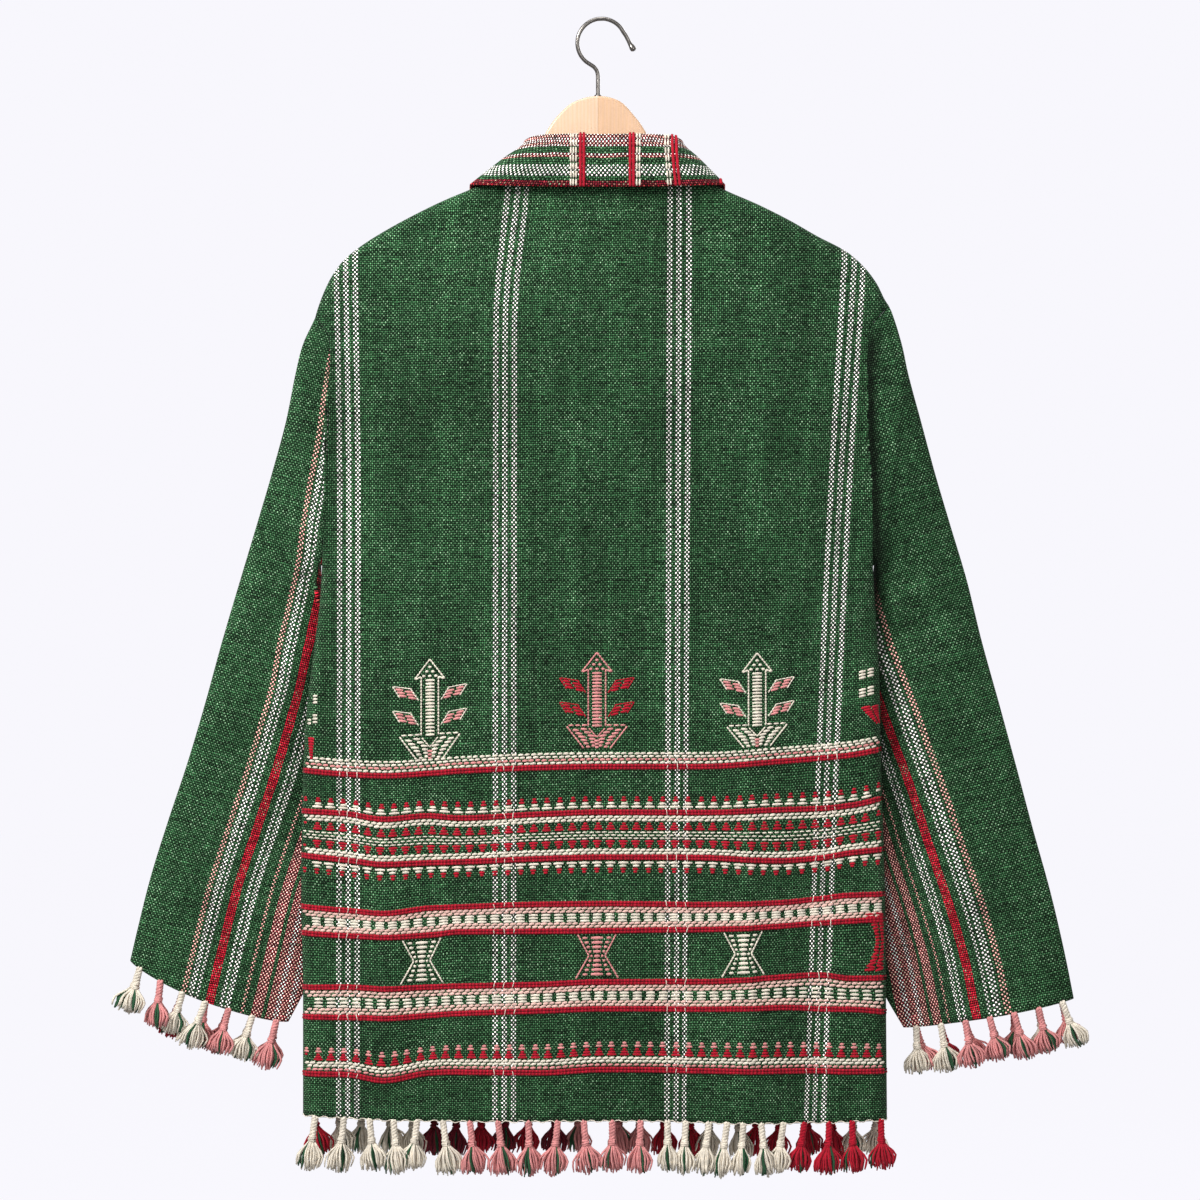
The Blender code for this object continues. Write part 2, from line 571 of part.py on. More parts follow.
def wood_outline():
    """Outline of the hanger's wood, clockwise from the head, in metres (x, z)."""
    right = [(c, under_ridge(c)) for c in (725, 742, 757, 773, 789, 803, 815)]
    right += [(824, 249), (831, 255.5), (836.5, 262), (838, 269), (834.5, 275), (827, 277)]
    lower_r = [(816, 268), (796, 256), (770, 242.5), (735, 227), (700, 214.5), (665, 205.5), (630, 200.5)]
    lower_l = [(598, 199), (566, 200.5), (531, 205.5), (496, 213), (461, 223.5), (430, 237), (405, 250.5),
               (386, 263), (375, 271)]
    left = [(370, 275), (363.5, 272.5), (361, 266.5), (363, 260), (368.5, 253.5)]
    left += [(c, under_ridge(c)) for c in (376, 390, 405, 420, 433, 445, 458, 470)]
    pts = HEAD_R + right + lower_r + lower_l + left + HEAD_L[:0:-1] + HEAD_L[:1]
    return np.array([(float(gx(a)), float(gz(b))) for a, b in pts])


def wood_mesh():
    """Board of one outline with eased edges: four layers from -Y to +Y."""
    line = wood_outline()
    n = len(line)
    edge = np.roll(line, -1, 0) - line
    nrm = np.stack([edge[:, 1], -edge[:, 0]], -1)
    nrm = unit(nrm)
    corner = unit(nrm + np.roll(nrm, 1, 0))
    area = 0.5 * np.sum(line[:, 0] * np.roll(line[:, 1], -1) - np.roll(line[:, 0], -1) * line[:, 1])
    outward = corner if area > 0 else -corner
    layers = [(-WOOD_HALF, 0.0024), (-WOOD_HALF + 0.0026, 0.0), (WOOD_HALF - 0.0026, 0.0),
              (WOOD_HALF, 0.0024)]
    verts, faces = [], []
    for y, inset in layers:
        for p, o in zip(line, outward):
            q = p - o * inset
            verts.append((q[0], y, q[1]))
    for k in range(len(layers) - 1):
        for i in range(n):
            a, b = k * n + i, k * n + (i + 1) % n
            faces.append((a, b, b + n, a + n))
    faces.append(tuple(range(n))[::-1])
    faces.append(tuple(range((len(layers) - 1) * n, len(layers) * n)))
    if signed_volume(verts, faces) < 0:
        faces = [f[::-1] for f in faces]
    return verts, faces


def hook_path():
    """Centre line of the hook's wire, from the head up and round to its tip."""
    centre, r = (601.7, 43.0), 24.3
    pts = [(598, 96.2), (598, 92), (598, 86), (598, 80), (597.9, 75.5), (597.0, 71.2), (594.2, 67.2)]
    for deg in range(242, 20, -12):
        a = math.radians(deg)
        pts.append((centre[0] + r * math.cos(a), centre[1] - r * math.sin(a)))
    pts += [(626.2, 36.3), (628.3, 40.4), (630.5, 44.6), (632.4, 47.6), (633.4, 49.2), (634.1, 50.3), (634.4, 50.8)]
    radii = [0.00185] * len(pts)
    radii[-5:] = [0.0021, 0.0028, 0.0029, 0.0021, 0.0010]
    return np.array([(float(gx(a)), 0.0, float(gz(b))) for a, b in pts]), radii


HEM_BACK_AT = [316, 345, 371, 395, 418, 444, 471, 499, 529, 558, 584, 612, 640, 667, 685, 708,
               726, 742, 760, 782, 803, 828, 851, 880]
HEM_LEFT_AT = [312, 336, 361, 386, 410, 434, 458, 482, 507, 531, 555, 579]
HEM_RIGHT_AT = [617, 640, 664, 689, 712, 736, 760, 783, 807, 831, 855, 878]


def places_on(outer, columns):
    """Lengths along a hem edge at the given grid columns, and each one's free reach."""
    seg = np.linalg.norm(np.diff(outer, axis=0), axis=1)
    s = np.concatenate([[0], np.cumsum(seg)])
    x = outer[:, 0]
    at = np.interp(gx(columns), x, s)
    at = np.clip(at, 0.005, s[-1] - 0.005)
    gaps = np.diff(at)
    free = np.minimum(np.concatenate([[gaps[0]], gaps]), np.concatenate([gaps, [gaps[-1]]]))
    return at, np.minimum(free / 2 * 0.88, 0.0098)


def main():
    green = (0.02, 0.12, 0.05)
    red = (0.45, 0.02, 0.04)
    back, nb = body_panel("back", BACK_COLUMNS)
    left, nl = body_panel("front_left", LEFT_COLUMNS)
    right, nr = body_panel("front_right", RIGHT_COLUMNS)
    inner = {}
    for name, p, n in (("back", back, nb), ("front_left", left, nl), ("front_right", right, nr)):
        inner[name] = p - WALL * n
        v, f = shell_mesh(p, inner[name])
        build(name, v, f, green)
    q = np.array(UPPER)
    for side, name in ((-1, "left"), (1, "right")):
        rings, seam_n = sleeve_sections(side, q)
        n = grid_normals(rings, wrap=True)
        centre = rings.mean(1, keepdims=True)
        n = n * np.sign((n * (rings - centre)).sum(-1).mean(1))[:, None, None]
        n[0] = seam_n
        last = len(q) - 1
        tip = unit(rings[:, last] - rings[:, 0])
        n[1:8, last] = 1.4 * tip[1:8]
        n[-1, last] = (-side, 0, 0)
        for step in (-1, 1):
            wall = n[2:4, last + 3 * step]
            n[2:4, last + 2 * step] = unit(wall + 0.25 * tip[2:4])
            n[2:4, last + step] = unit(wall + 0.7 * tip[2:4])
        ins = rings - WALL * n
        for step in (-1, 1):  # a straight inner wall where the underarm's corner is narrow
            wall, end = ins[4:8, last + 3 * step], ins[4:8, last]
            ins[4:8, last + 2 * step] = wall + 0.52 * (end - wall)
            ins[4:8, last + step] = wall + 0.86 * (end - wall)
        front_cols = [0] + list(range(2 * last - 1, last - 1, -1))
        for half, cols, way in (("back", list(range(last + 1)), -1), ("front", front_cols, 1)):
            part_line = np.zeros((len(cols), 3))
            part_line[[0, -1], 1] = way * PART
            v, f = shell_mesh(rings[:, cols] + part_line, ins[:, cols] + part_line)
            build("sleeve_" + name + "_" + half, v, f, green)
        edge_o, edge_i = rings[-1], ins[-1]
        line = np.concatenate([edge_o, edge_o[:1]])
        total = np.linalg.norm(np.diff(line, axis=0), axis=1).sum()
        at = [total * (k + 0.5) / 14 for k in range(14)]
        axis = unit(rings[-1] - rings[-2])
        v, f = fringe(edge_o, edge_i, at, [0.0082] * 14, ring=True, lean=axis, seed=5 + side)
        consistent("cuff_tassels_" + name, v, f, red)
    seam_o, seam_i = neck_seam(back, nb, (left, nl), (right, nr))
    top, under = collar_grid(seam_o, seam_i)
    v, f = shell_mesh(under, top)
    build("collar", v, f, green)
    for name, p, key, cols, seed in (("hem_tassels_back", back, "back", HEM_BACK_AT, 3),
                                     ("hem_tassels_front_left", left, "front_left", HEM_LEFT_AT, 4),
                                     ("hem_tassels_front_right", right, "front_right", HEM_RIGHT_AT, 5)):
        at, reach = places_on(p[-1], cols)
        v, f = fringe(p[-1], inner[key][-1], list(at), list(reach), seed=seed)
        consistent(name, v, f, red)
    v, f = wood_mesh()
    build("hanger_wood", v, f, (0.75, 0.52, 0.28), 0.5)
    path, radii = hook_path()
    v, f = tube(path, radii)
    build("hanger_hook", v, f, (0.7, 0.7, 0.72), 0.3, 1.0)


for old in list(bpy.data.objects):
    bpy.data.objects.remove(old, do_unlink=True)
JACKET = bpy.data.collections.new("wool_jacket")
bpy.context.scene.collection.children.link(JACKET)
main()
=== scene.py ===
"""Looks of the hand-woven wool jacket on its hanger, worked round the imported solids.

Metres, +Z up, the jacket's back toward -Y. As in the part's source, the tables are
read on a grid of 0.9 mm steps: gx() and gz() turn its columns and rows into metres.
"""
import math

import bmesh
import bpy
import numpy as np
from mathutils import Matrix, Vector
from mathutils.kdtree import KDTree


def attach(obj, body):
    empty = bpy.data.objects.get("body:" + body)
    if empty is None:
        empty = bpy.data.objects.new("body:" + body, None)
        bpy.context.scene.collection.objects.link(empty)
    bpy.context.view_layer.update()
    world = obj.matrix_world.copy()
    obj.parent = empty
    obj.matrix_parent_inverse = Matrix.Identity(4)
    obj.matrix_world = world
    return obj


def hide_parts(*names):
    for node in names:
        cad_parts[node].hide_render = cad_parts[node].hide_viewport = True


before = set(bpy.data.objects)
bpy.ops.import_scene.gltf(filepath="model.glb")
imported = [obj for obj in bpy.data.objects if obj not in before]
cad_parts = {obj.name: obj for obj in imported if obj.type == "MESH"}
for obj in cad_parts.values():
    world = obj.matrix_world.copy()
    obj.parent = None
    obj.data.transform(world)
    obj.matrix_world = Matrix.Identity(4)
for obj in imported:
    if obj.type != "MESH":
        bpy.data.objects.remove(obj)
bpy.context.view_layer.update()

GRID = 0.0009           # metres in one step of the measuring grid
GRID_X0 = 597.5         # grid column of the origin
GRID_Z0 = 20.0          # grid row of the origin
CLOTH = 0.0018          # thickness of the shown cloth
WALL = 0.002            # thickness of the solid's wall
PART = 0.00015          # half of the gap left at every seam
UNDERARM = 566.0        # grid row of both underarm points
TIP_L = (315.0, 318.0)  # shoulder tips: grid column, grid row
TIP_R = (889.0, 306.0)
HEM_BACK = 1117.0
HEM_FRONT = 1107.0
ARMHOLE_DEPTH = 0.014
SIDE_ROUND = 0.012
RIDGE_ROUND = 0.010
END = 1.84 * GRID       # from one warp yarn to the next
PICK = 2.27 * GRID      # from one weft yarn to the next

OPENING_TOP = 250.0     # grid row where the front opening starts
OPENING = (595.0, 601.0)  # grid columns of its two edges
HANGER_MIDDLE = 598.0   # grid column of the hanger's shank
TURN_FADE = 0.006       # width over which a rounded edge runs out into the panel

CREAM, PINK, RED, MAROON, GREEN, BLUSH, PACKED = range(7)
YARN_COLOURS = {"cream": (0.78, 0.70, 0.58), "pink": (0.68, 0.27, 0.26),
                "red": (0.42, 0.006, 0.022), "maroon": (0.17, 0.008, 0.02),
                "green": (0.02, 0.085, 0.035), "blush": (0.78, 0.50, 0.43)}


def gx(p):
    return (np.asarray(p, float) - GRID_X0) * GRID


def gz(p):
    return (GRID_Z0 - np.asarray(p, float)) * GRID


def curve(xs, ys):
    """Smooth reader of a table, or of a row of point rings, that never overshoots."""
    xs, ys = np.asarray(xs, float), np.asarray(ys, float)
    extra = (1,) * (ys.ndim - 1)
    h = np.diff(xs).reshape(-1, *extra)
    d = np.diff(ys, axis=0) / h
    m = np.zeros_like(ys)
    m[0], m[-1] = d[0], d[-1]
    both, total = d[:-1] * d[1:], d[:-1] + d[1:]
    m[1:-1] = np.where(both > 0, 2 * both / np.where(total == 0, 1, total), 0)

    def read(x):
        x = np.clip(np.asarray(x, float), xs[0], xs[-1])
        i = np.clip(np.searchsorted(xs, x) - 1, 0, len(xs) - 2)
        t = ((x - xs[i]) / (xs[i + 1] - xs[i])).reshape(x.shape + extra)
        t2, t3 = t * t, t * t * t
        return ((2 * t3 - 3 * t2 + 1) * ys[i] + (t3 - 2 * t2 + t) * h[i] * m[i]
                + (3 * t2 - 2 * t3) * ys[i + 1] + (t3 - t2) * h[i] * m[i + 1])
    return read


def run_length(points):
    """Way along a line of points, from the first to each."""
    return np.concatenate([[0], np.cumsum(np.linalg.norm(np.diff(points, axis=0), axis=1))])


def on_line(places, length, line):
    """Points at given lengths along a line of points."""
    return np.stack([np.interp(places, length, line[:, c]) for c in range(3)], -1)


def unit(v):
    v = np.asarray(v, float)
    return v / np.maximum(np.linalg.norm(v, axis=-1, keepdims=True), 1e-12)


def smooth(t):
    t = np.clip(t, 0, 1)
    return t * t * (3 - 2 * t)


def rounded(t):
    """Quarter circle: 0 at 0, 1 from 1 on."""
    return np.sqrt(np.clip(1 - (1 - np.clip(t, 0, 1)) ** 2, 0, 1))


# Shape of the jacket, as in the solids

RIDGE = curve(
    [315, 318, 324, 332, 344, 364, 390, 420, 445, 469, 500, 515, 560, 603, 647, 690,
     705, 725, 757, 789, 817, 847, 865, 877, 885, 889],
    [318, 308, 292, 276, 260, 244, 228, 212, 200, 190, 176, 169, 156, 152, 156, 170,
     179, 190, 204, 220, 236, 252, 268, 284, 300, 306])
EDGE_L = curve([318, 328, 339, 360, 381, 420, 500, 566, 600, 650, 700, 760, 900, 1000, 1117],
               [315, 323, 330, 331, 330, 328, 326, 322, 320, 314, 308, 303.5, 301, 303, 303])
EDGE_R = curve([306, 318, 330, 350, 381, 420, 500, 566, 650, 700, 760, 900, 1000, 1117],
               [889, 878, 869, 867, 866, 866, 871, 873, 878, 880, 881, 885, 886, 887])
NECK_L, NECK_R = 515.0, 690.0
NECK_BACK = curve([515, 518, 524, 534, 545, 573, 603, 632, 661, 671, 681, 687, 690],
                  [169, 171.2, 173.4, 175.6, 177.3, 179.8, 180.5, 179.8, 177.5, 176, 174, 172, 170])
NECK_FRONT = curve([515, 518, 524, 535, 552, 573, 585, 595, 601, 612, 625, 646, 670, 681, 687, 690],
                   [169, 176, 184, 197, 216, 235, 244, 249, 249, 244, 235, 216, 197, 185, 177, 170])
OPEN_L = curve([250, 560, 1107], [595, 594.5, 591])
OPEN_R = curve([250, 560, 1107], [601, 601.5, 605])
FOLDS_BACK = [(388, 20, 0.0030), (436, 24, -0.0028), (560, 42, 0.0018), (664, 34, -0.0020),
              (748, 24, 0.0032), (806, 26, -0.0022)]
FOLDS_FRONT = [(400, 30, 0.0028), (470, 30, -0.0024), (545, 26, 0.0026), (650, 28, 0.0026),
               (720, 30, -0.0024), (800, 30, 0.0026)]

CREASE_UNIT = 0.0015    # metres in one step of the creases' heights
# Creases of the worn cloth: from grid column, row, to column, row, half width, height.
CREASES_BACK = [
    (352, 268, 430, 300, 9, 0.9), (392, 302, 486, 292, 6, -0.8), (388, 330, 470, 322, 7, 0.6),
    (848, 262, 770, 300, 9, 0.9), (842, 300, 742, 318, 7, -0.7), (836, 330, 760, 352, 8, 0.5),
    (332, 520, 420, 640, 12, -1.0), (340, 580, 412, 720, 11, 0.9), (868, 520, 792, 640, 12, -1.0),
    (866, 600, 800, 700, 10, 0.8), (570, 205, 566, 420, 16, 0.5), (630, 200, 640, 380, 14, -0.5),
    (430, 640, 424, 820, 9, -1.2), (446, 760, 440, 1000, 9, 1.0), (386, 820, 380, 1080, 10, 1.1),
    (745, 860, 752, 1090, 9, 1.2), (765, 780, 758, 1010, 9, -1.0), (806, 900, 812, 1110, 9, -0.9),
    (330, 860, 326, 1080, 9, 0.7), (690, 880, 686, 1100, 12, 0.6), (606, 760, 600, 1000, 16, -0.5),
    (480, 420, 474, 620, 18, 0.4), (700, 420, 706, 640, 18, -0.4), (860, 820, 846, 960, 8, 1.0),
    (318, 1090, 420, 1108, 7, -0.7), (500, 1100, 600, 1106, 8, 0.5),
    (790, 1098, 880, 1104, 8, -0.5)]
CREASES_FRONT = [
    (352, 268, 430, 306, 9, 0.8), (398, 330, 486, 320, 7, -0.7), (846, 266, 768, 306, 9, 0.8),
    (832, 332, 742, 342, 7, -0.7), (332, 530, 430, 650, 12, -0.9), (866, 530, 780, 650, 12, -0.9),
    (400, 700, 404, 980, 10, 1.0), (462, 640, 456, 900, 11, -1.0), (545, 380, 552, 700, 12, 0.6),
    (640, 400, 648, 700, 12, 0.6), (726, 660, 736, 960, 11, -1.0), (792, 740, 800, 1060, 10, 1.0),
    (352, 840, 346, 1080, 9, 0.8), (500, 920, 506, 1090, 9, -0.7), (690, 900, 684, 1090, 9, 0.7)]
CREASES_LEFT = [
    (300, 372, 262, 500, 8, 0.9), (322, 560, 262, 640, 8, -1.1), (330, 620, 262, 724, 9, 1.0),
    (232, 640, 214, 760, 10, -0.8), (300, 690, 240, 800, 10, -0.9), (200, 760, 178, 900, 9, 0.8),
    (350, 760, 286, 872, 9, 0.8), (250, 850, 222, 990, 9, -0.8), (160, 900, 146, 968, 8, 0.7)]
CREASES_RIGHT = [
    (905, 372, 938, 500, 8, 0.9), (880, 640, 962, 606, 8, -2.3), (878, 668, 980, 652, 9, 2.0),
    (880, 612, 940, 574, 9, 1.7), (968, 640, 990, 652, 7, -1.8), (900, 700, 1000, 756, 9, -0.8),
    (1012, 800, 1030, 826, 7, -1.2), (940, 760, 984, 900, 10, 0.9), (1000, 860, 1040, 985, 9, -0.8),
    (900, 830, 930, 960, 9, 0.8)]


def creases(table, px, py):
    """Height of the soft creases at grid places, in metres."""
    total = np.zeros(np.broadcast(px, py).shape)
    for x0, y0, x1, y1, half, high in table:
        along = np.array([x1 - x0, y1 - y0], float)
        length = np.linalg.norm(along)
        along = along / length
        s = (px - x0) * along[0] + (py - y0) * along[1]
        off = np.abs((px - x0) * along[1] - (py - y0) * along[0] + 3.0 * np.sin(s / 31.0))
        ends = smooth(np.minimum(s + 0.15 * length, 1.15 * length - s) / (0.35 * length))
        total = total + CREASE_UNIT * high * ends * np.exp(-(off / half) ** 2)
    return total


def depth(front, px, py, s, lens):
    """How far a body panel stands off the plane y = 0, without its small creases."""
    slope = (RIDGE(px + 0.5) - RIDGE(px - 0.5))
    lean = 1 / np.sqrt(1 + slope * slope)
    below = np.maximum((py - RIDGE(px)) * GRID, 0)
    below = below * (lean + (1 - lean) * np.clip(below / 0.06, 0, 1))
    belly = (0.0005, 0.012) if front else (0.001, 0.0145)
    base = (RIDGE_ROUND * rounded(below / RIDGE_ROUND)
            + (belly[0] + belly[1] * np.sin(math.pi / 2 * np.clip(s / 0.2, 0, 1)))
            * smooth(below / 0.17))
    fade = smooth((py - 560) / 420)
    for centre, half, out in (FOLDS_FRONT if front else FOLDS_BACK):
        base = base + out * np.exp(-((px - centre) / half) ** 2) * fade
    fine = creases(CREASES_FRONT if front else CREASES_BACK, px, py)
    fine = fine + 0.00035 * np.sin(px / 23 + 1.7 * np.sin(py / 61)) * np.sin(py / 37 + px / 90)
    base = base + fine * smooth((below - 0.008) / 0.03)
    w = rounded(s / SIDE_ROUND)
    return lens * (1 - w) + base * w


def hem_row(front, px):
    base = HEM_FRONT if front else HEM_BACK
    return base + 1.6 * np.sin((px - 330) / 62.0) + 2.0 * np.sin((px - 500) / 140.0)


def row_places(q, side):
    """Grid place of a side edge at row q: 0 shoulder tip, 1 underarm, 2 hem."""
    tip = TIP_L if side < 0 else TIP_R
    edge = EDGE_L if side < 0 else EDGE_R
    py = np.where(q <= 1, tip[1] + (UNDERARM - tip[1]) * q,
                  UNDERARM + (HEM_BACK - UNDERARM) * (q - 1))
    return edge(py), py


def lens_at(q):
    q = np.clip(q, 0, 1)
    return ARMHOLE_DEPTH * (2 * np.sqrt(q * (1 - q))) ** 0.85


def armhole(side, front, q):
    """Armhole seam: its points, the sleeve's second ring and the way out along it."""
    px, py = row_places(q, side)
    way = 1.0 if front else -1.0
    p0 = np.stack([gx(px), way * lens_at(q), gz(py)], -1)
    bulge = 2 * np.sqrt(np.clip(q * (1 - q), 0, 1))
    p1 = np.stack([p0[:, 0] + side * (0.0025 + 0.002 * bulge), p0[:, 1] * (1 - 0.35 * bulge ** 2),
                   p0[:, 2] - 0.0055 * (1 - q) ** 3 + 0.0025 * q ** 8], -1)
    return p0, p1, unit(p1 - p0)


def grid_normals(p, wrap=False):
    a = np.gradient(p, axis=0)
    if wrap:
        b = (np.roll(p, -1, axis=1) - np.roll(p, 1, axis=1)) / 2
    else:
        b = np.gradient(p, axis=1)
    return unit(np.cross(a, b))


def panel_points(name, columns, rows):
    """Outer points of a body panel as (row, column, xyz), with their grid places."""
    front = name != "back"
    way = 1.0 if front else -1.0
    lo = TIP_L[0] if name != "front_right" else OPENING[1]
    hi = TIP_R[0] if name != "front_left" else OPENING[0]
    frac = (columns - lo) / (hi - lo)
    lx, _ = row_places(rows, -1)
    rx, _ = row_places(rows, 1)
    mid_row = np.where(rows <= 1, OPENING_TOP + (UNDERARM - OPENING_TOP) * rows,
                       UNDERARM + (HEM_BACK - UNDERARM) * (rows - 1))
    a = lx if name != "front_right" else OPEN_R(mid_row)
    b = rx if name != "front_left" else OPEN_L(mid_row)
    px = a[:, None] + (b - a)[:, None] * frac[None, :]
    neck = NECK_FRONT if front else NECK_BACK
    top = np.where((columns > NECK_L) & (columns < NECK_R), neck(columns), RIDGE(columns))
    q = rows[:, None]
    py = np.where(q <= 1, top[None, :] + (UNDERARM - top[None, :]) * q,
                  UNDERARM + (hem_row(front, px) - UNDERARM) * (q - 1))
    s = np.maximum(np.minimum(px - lx[:, None], rx[:, None] - px) * GRID, 0)
    y = way * np.maximum(depth(front, px, py, s, lens_at(q) + 0 * px), PART)
    p = np.stack([gx(px), y, gz(py)], -1)
    outside = (columns <= NECK_L) | (columns >= NECK_R)
    p[0, outside, 1] = way * PART
    for side, col in ((-1, 0), (1, -1)):
        if (side < 0 and name == "front_right") or (side > 0 and name == "front_left"):
            continue
        _, _, out = armhole(side, front, rows[rows <= 1])
        p[rows <= 1, col] -= PART * out
        p[rows >= 1, col, 1] = way * PART
    return p, px, py


def body_place(front, px, row):
    """Point of a body panel's outer face below the underarm, at a grid place."""
    q = 1 + (row - UNDERARM) / (hem_row(front, px) - UNDERARM)
    lx, _ = row_places(q, -1)
    rx, _ = row_places(q, 1)
    s = np.maximum(np.minimum(px - lx, rx - px) * GRID, 0)
    y = np.maximum(depth(front, px, row, s, 0 * px), PART)
    return np.stack([gx(px), (1.0 if front else -1.0) * y, gz(row)], -1)


# How the yarns lie: each weft is a little wavy, and each warp leans

WARP_GROUPS = (190, 275, 368, 455)  # warp yarns at the middle of each white group
GROUP_AT = [curve([250, 500, 1117], [346, 350, 349]),
            curve([190, 330, 1117], [518.5, 506, 505]),
            curve([190, 1117], [678.5, 675.5]),
            curve([260, 500, 750, 1117], [854, 838.5, 826.5, 813])]
WAVE_AT = [303, 345, 385, 430, 460, 540, 600, 700, 780, 820, 850, 887]
WAVES = [(560, [0] * 12),
         (700, [2, 4, 5, 3, 2, 0.5, 0, 0, -2, -4, -6, -9]),
         (763.5, [4.5, 8, 9.5, 7, 4.5, 1, 0, 0, -5, -8, -11, -18]),
         (810, [0, 2, 7.5, 4, 6, 2, 0, 0.5, -2, -3, -6, -14]),
         (853.5, [-0.5, 3.5, 7.5, 6, 5, 1.5, 0, 0.5, 4, 1.5, -3.5, -7]),
         (900, [4.5, 7.5, 10, 5, 3.5, 0.5, 0, 1, -0.5, -4, -7.5, -8]),
         (928, [4, 6, 7, 5, 1.5, 0.5, 0, -1, -4, -6.5, -8.5, -10]),
         (978, [7.5, 6.5, 7.5, 6, 4.5, 2.5, 0, 0, -4, -5.5, -2, -2]),
         (1005.5, [10, 10, 10, 7.5, 5, 2, 0, 0.5, -0.5, 1.5, 2, 5.5]),
         (1065.5, [6.5, 6.5, 11.5, 4.5, 3, 3, 0, 1.5, 2.5, 3, 4, 4]),
         (1117, [1, 1, 2, 1, 0.5, 0.5, 0, 0, 0.5, 0.5, 1, 1])]
WAVE_CURVES = [curve(WAVE_AT, offsets) for _, offsets in WAVES]
FRONT_MIRROR = 1192     # sum of a front column and the back column that waves alike


def wave(front, px, weft):
    """How far below its level a weft yarn lies at a column, in grid rows."""
    x = FRONT_MIRROR - px if front else px
    level = np.stack([read(x) for read in WAVE_CURVES], -1)
    marks = np.array([w for w, _ in WAVES])
    weft = np.clip(weft, marks[0], marks[-1] - 0.01) + 0 * px
    i = np.clip(np.searchsorted(marks, weft, side="right") - 1, 0, len(marks) - 2)
    t = smooth((weft - marks[i]) / (marks[i + 1] - marks[i]))
    a = np.take_along_axis(level, i[..., None], -1)[..., 0]
    b = np.take_along_axis(level, i[..., None] + 1, -1)[..., 0]
    return a * (1 - t) + b * t


def weft_at(front, px, py):
    """Level of the weft yarn that passes a grid place."""
    weft = np.array(py + 0 * px, float)
    for _ in range(4):
        weft = py - wave(front, px, weft)
    return weft


def warp_at(px, py):
    """Count of the warp yarn that passes a grid place."""
    at = [read(py) for read in GROUP_AT]
    step = END / GRID
    groups = WARP_GROUPS
    count = groups[0] + 0.5 + (px - at[0]) / step
    for k in range(3):
        t = (px - at[k]) / (at[k + 1] - at[k])
        count = np.where(px > at[k], groups[k] + 0.5 + t * (groups[k + 1] - groups[k]), count)
    return np.where(px > at[3], groups[3] + 0.5 + (px - at[3]) / step, count)


# Small mesh helpers

def link_piece(name, mesh, materials):
    """Makes the mesh a smooth object that rides on the body."""
    ob = bpy.data.objects.new(name, mesh)
    bpy.context.scene.collection.objects.link(ob)
    for m in materials:
        mesh.materials.append(m)
    mesh.polygons.foreach_set("use_smooth", [True] * len(mesh.polygons))
    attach(ob, "root")
    return ob


def finish_mesh(bm, name, materials):
    mesh = bpy.data.meshes.new(name)
    bm.to_mesh(mesh)
    bm.free()
    return link_piece(name, mesh, materials)


def grid_mesh(points, uv):
    """A grid of points as a bmesh with its UV map in metres."""
    rows, cols = points.shape[:2]
    bm = bmesh.new()
    bmesh.ops.create_grid(bm, x_segments=cols - 1, y_segments=rows - 1, size=0.5)
    for v, co in zip(bm.verts, points.reshape(-1, 3)):
        v.co = co
    layer = bm.loops.layers.uv.new("weave")
    places = uv.reshape(-1, 2)
    for face in bm.faces:
        for loop in face.loops:
            loop[layer].uv = places[loop.vert.index]
    return bm


def thicken(ob):
    """Gives a sheet its thickness, inwards from the face that shows."""
    wall = ob.modifiers.new("thickness", "SOLIDIFY")
    wall.thickness, wall.offset, wall.use_even_offset = CLOTH, -1, False


def cloth_sheet(name, points, uv, material, outward):
    """A grid of cloth points as one sheet with its thickness."""
    rows, cols = points.shape[:2]
    bm = grid_mesh(points, uv)
    bm.faces.ensure_lookup_table()
    middle = bm.faces[(rows // 2) * (cols - 1) + cols // 2]
    middle.normal_update()
    if np.dot(middle.normal, outward) < 0:
        bmesh.ops.reverse_faces(bm, faces=bm.faces)
    ob = finish_mesh(bm, name, [material])
    thicken(ob)
    return ob


def yarn_tubes(paths, radii, sides):
    """Yarns along many paths of equal length: vertices and quads, closed at both ends.

    paths: (yarn, ring, xyz); radii: (yarn, ring) or one number."""
    paths = np.asarray(paths, float)
    count, rings = paths.shape[:2]
    radii = np.broadcast_to(np.asarray(radii, float), (count, rings))
    tangent = unit(np.gradient(paths, axis=1))
    ref = np.where(np.abs(tangent[..., 1:2]) > 0.8, [[[1.0, 0, 0]]], [[[0, 1.0, 0]]])
    a = unit(np.cross(tangent, ref))
    b = np.cross(tangent, a)
    turn = 2 * math.pi * np.arange(sides) / sides
    ring = (np.cos(turn)[None, None, :, None] * a[:, :, None]
            + np.sin(turn)[None, None, :, None] * b[:, :, None])
    verts = paths[:, :, None] + radii[:, :, None, None] * ring
    index = np.arange(count * rings * sides).reshape(count, rings, sides)
    nxt = np.roll(index, -1, axis=2)
    quads = np.stack([index[:, :-1], index[:, 1:], nxt[:, 1:], nxt[:, :-1]], -1).reshape(-1, 4)
    caps = [tuple(first) for first in index[:, 0]] + [tuple(last[::-1]) for last in index[:, -1]]
    return verts.reshape(-1, 3), [tuple(f) for f in quads] + caps


class Bundle:
    """Joins many small yarn meshes into one piece with a few materials."""

    def __init__(self):
        self.verts, self.faces, self.slots, self.base = [], [], [], 0

    def add(self, verts, faces, slot):
        self.verts.append(np.asarray(verts))
        self.faces += [tuple(int(i) + self.base for i in f) for f in faces]
        self.slots += [slot] * len(faces)
        self.base += len(verts)

    def piece(self, name, materials, slot, replaced=None):
        mesh = bpy.data.meshes.new(name)
        mesh.from_pydata(np.concatenate(self.verts).tolist(), [], self.faces)
        ob = link_piece(name, mesh, materials)
        mesh.polygons.foreach_set("material_index", self.slots)
        mesh.update()
        if replaced:
            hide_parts(replaced)
        return ob


# Materials

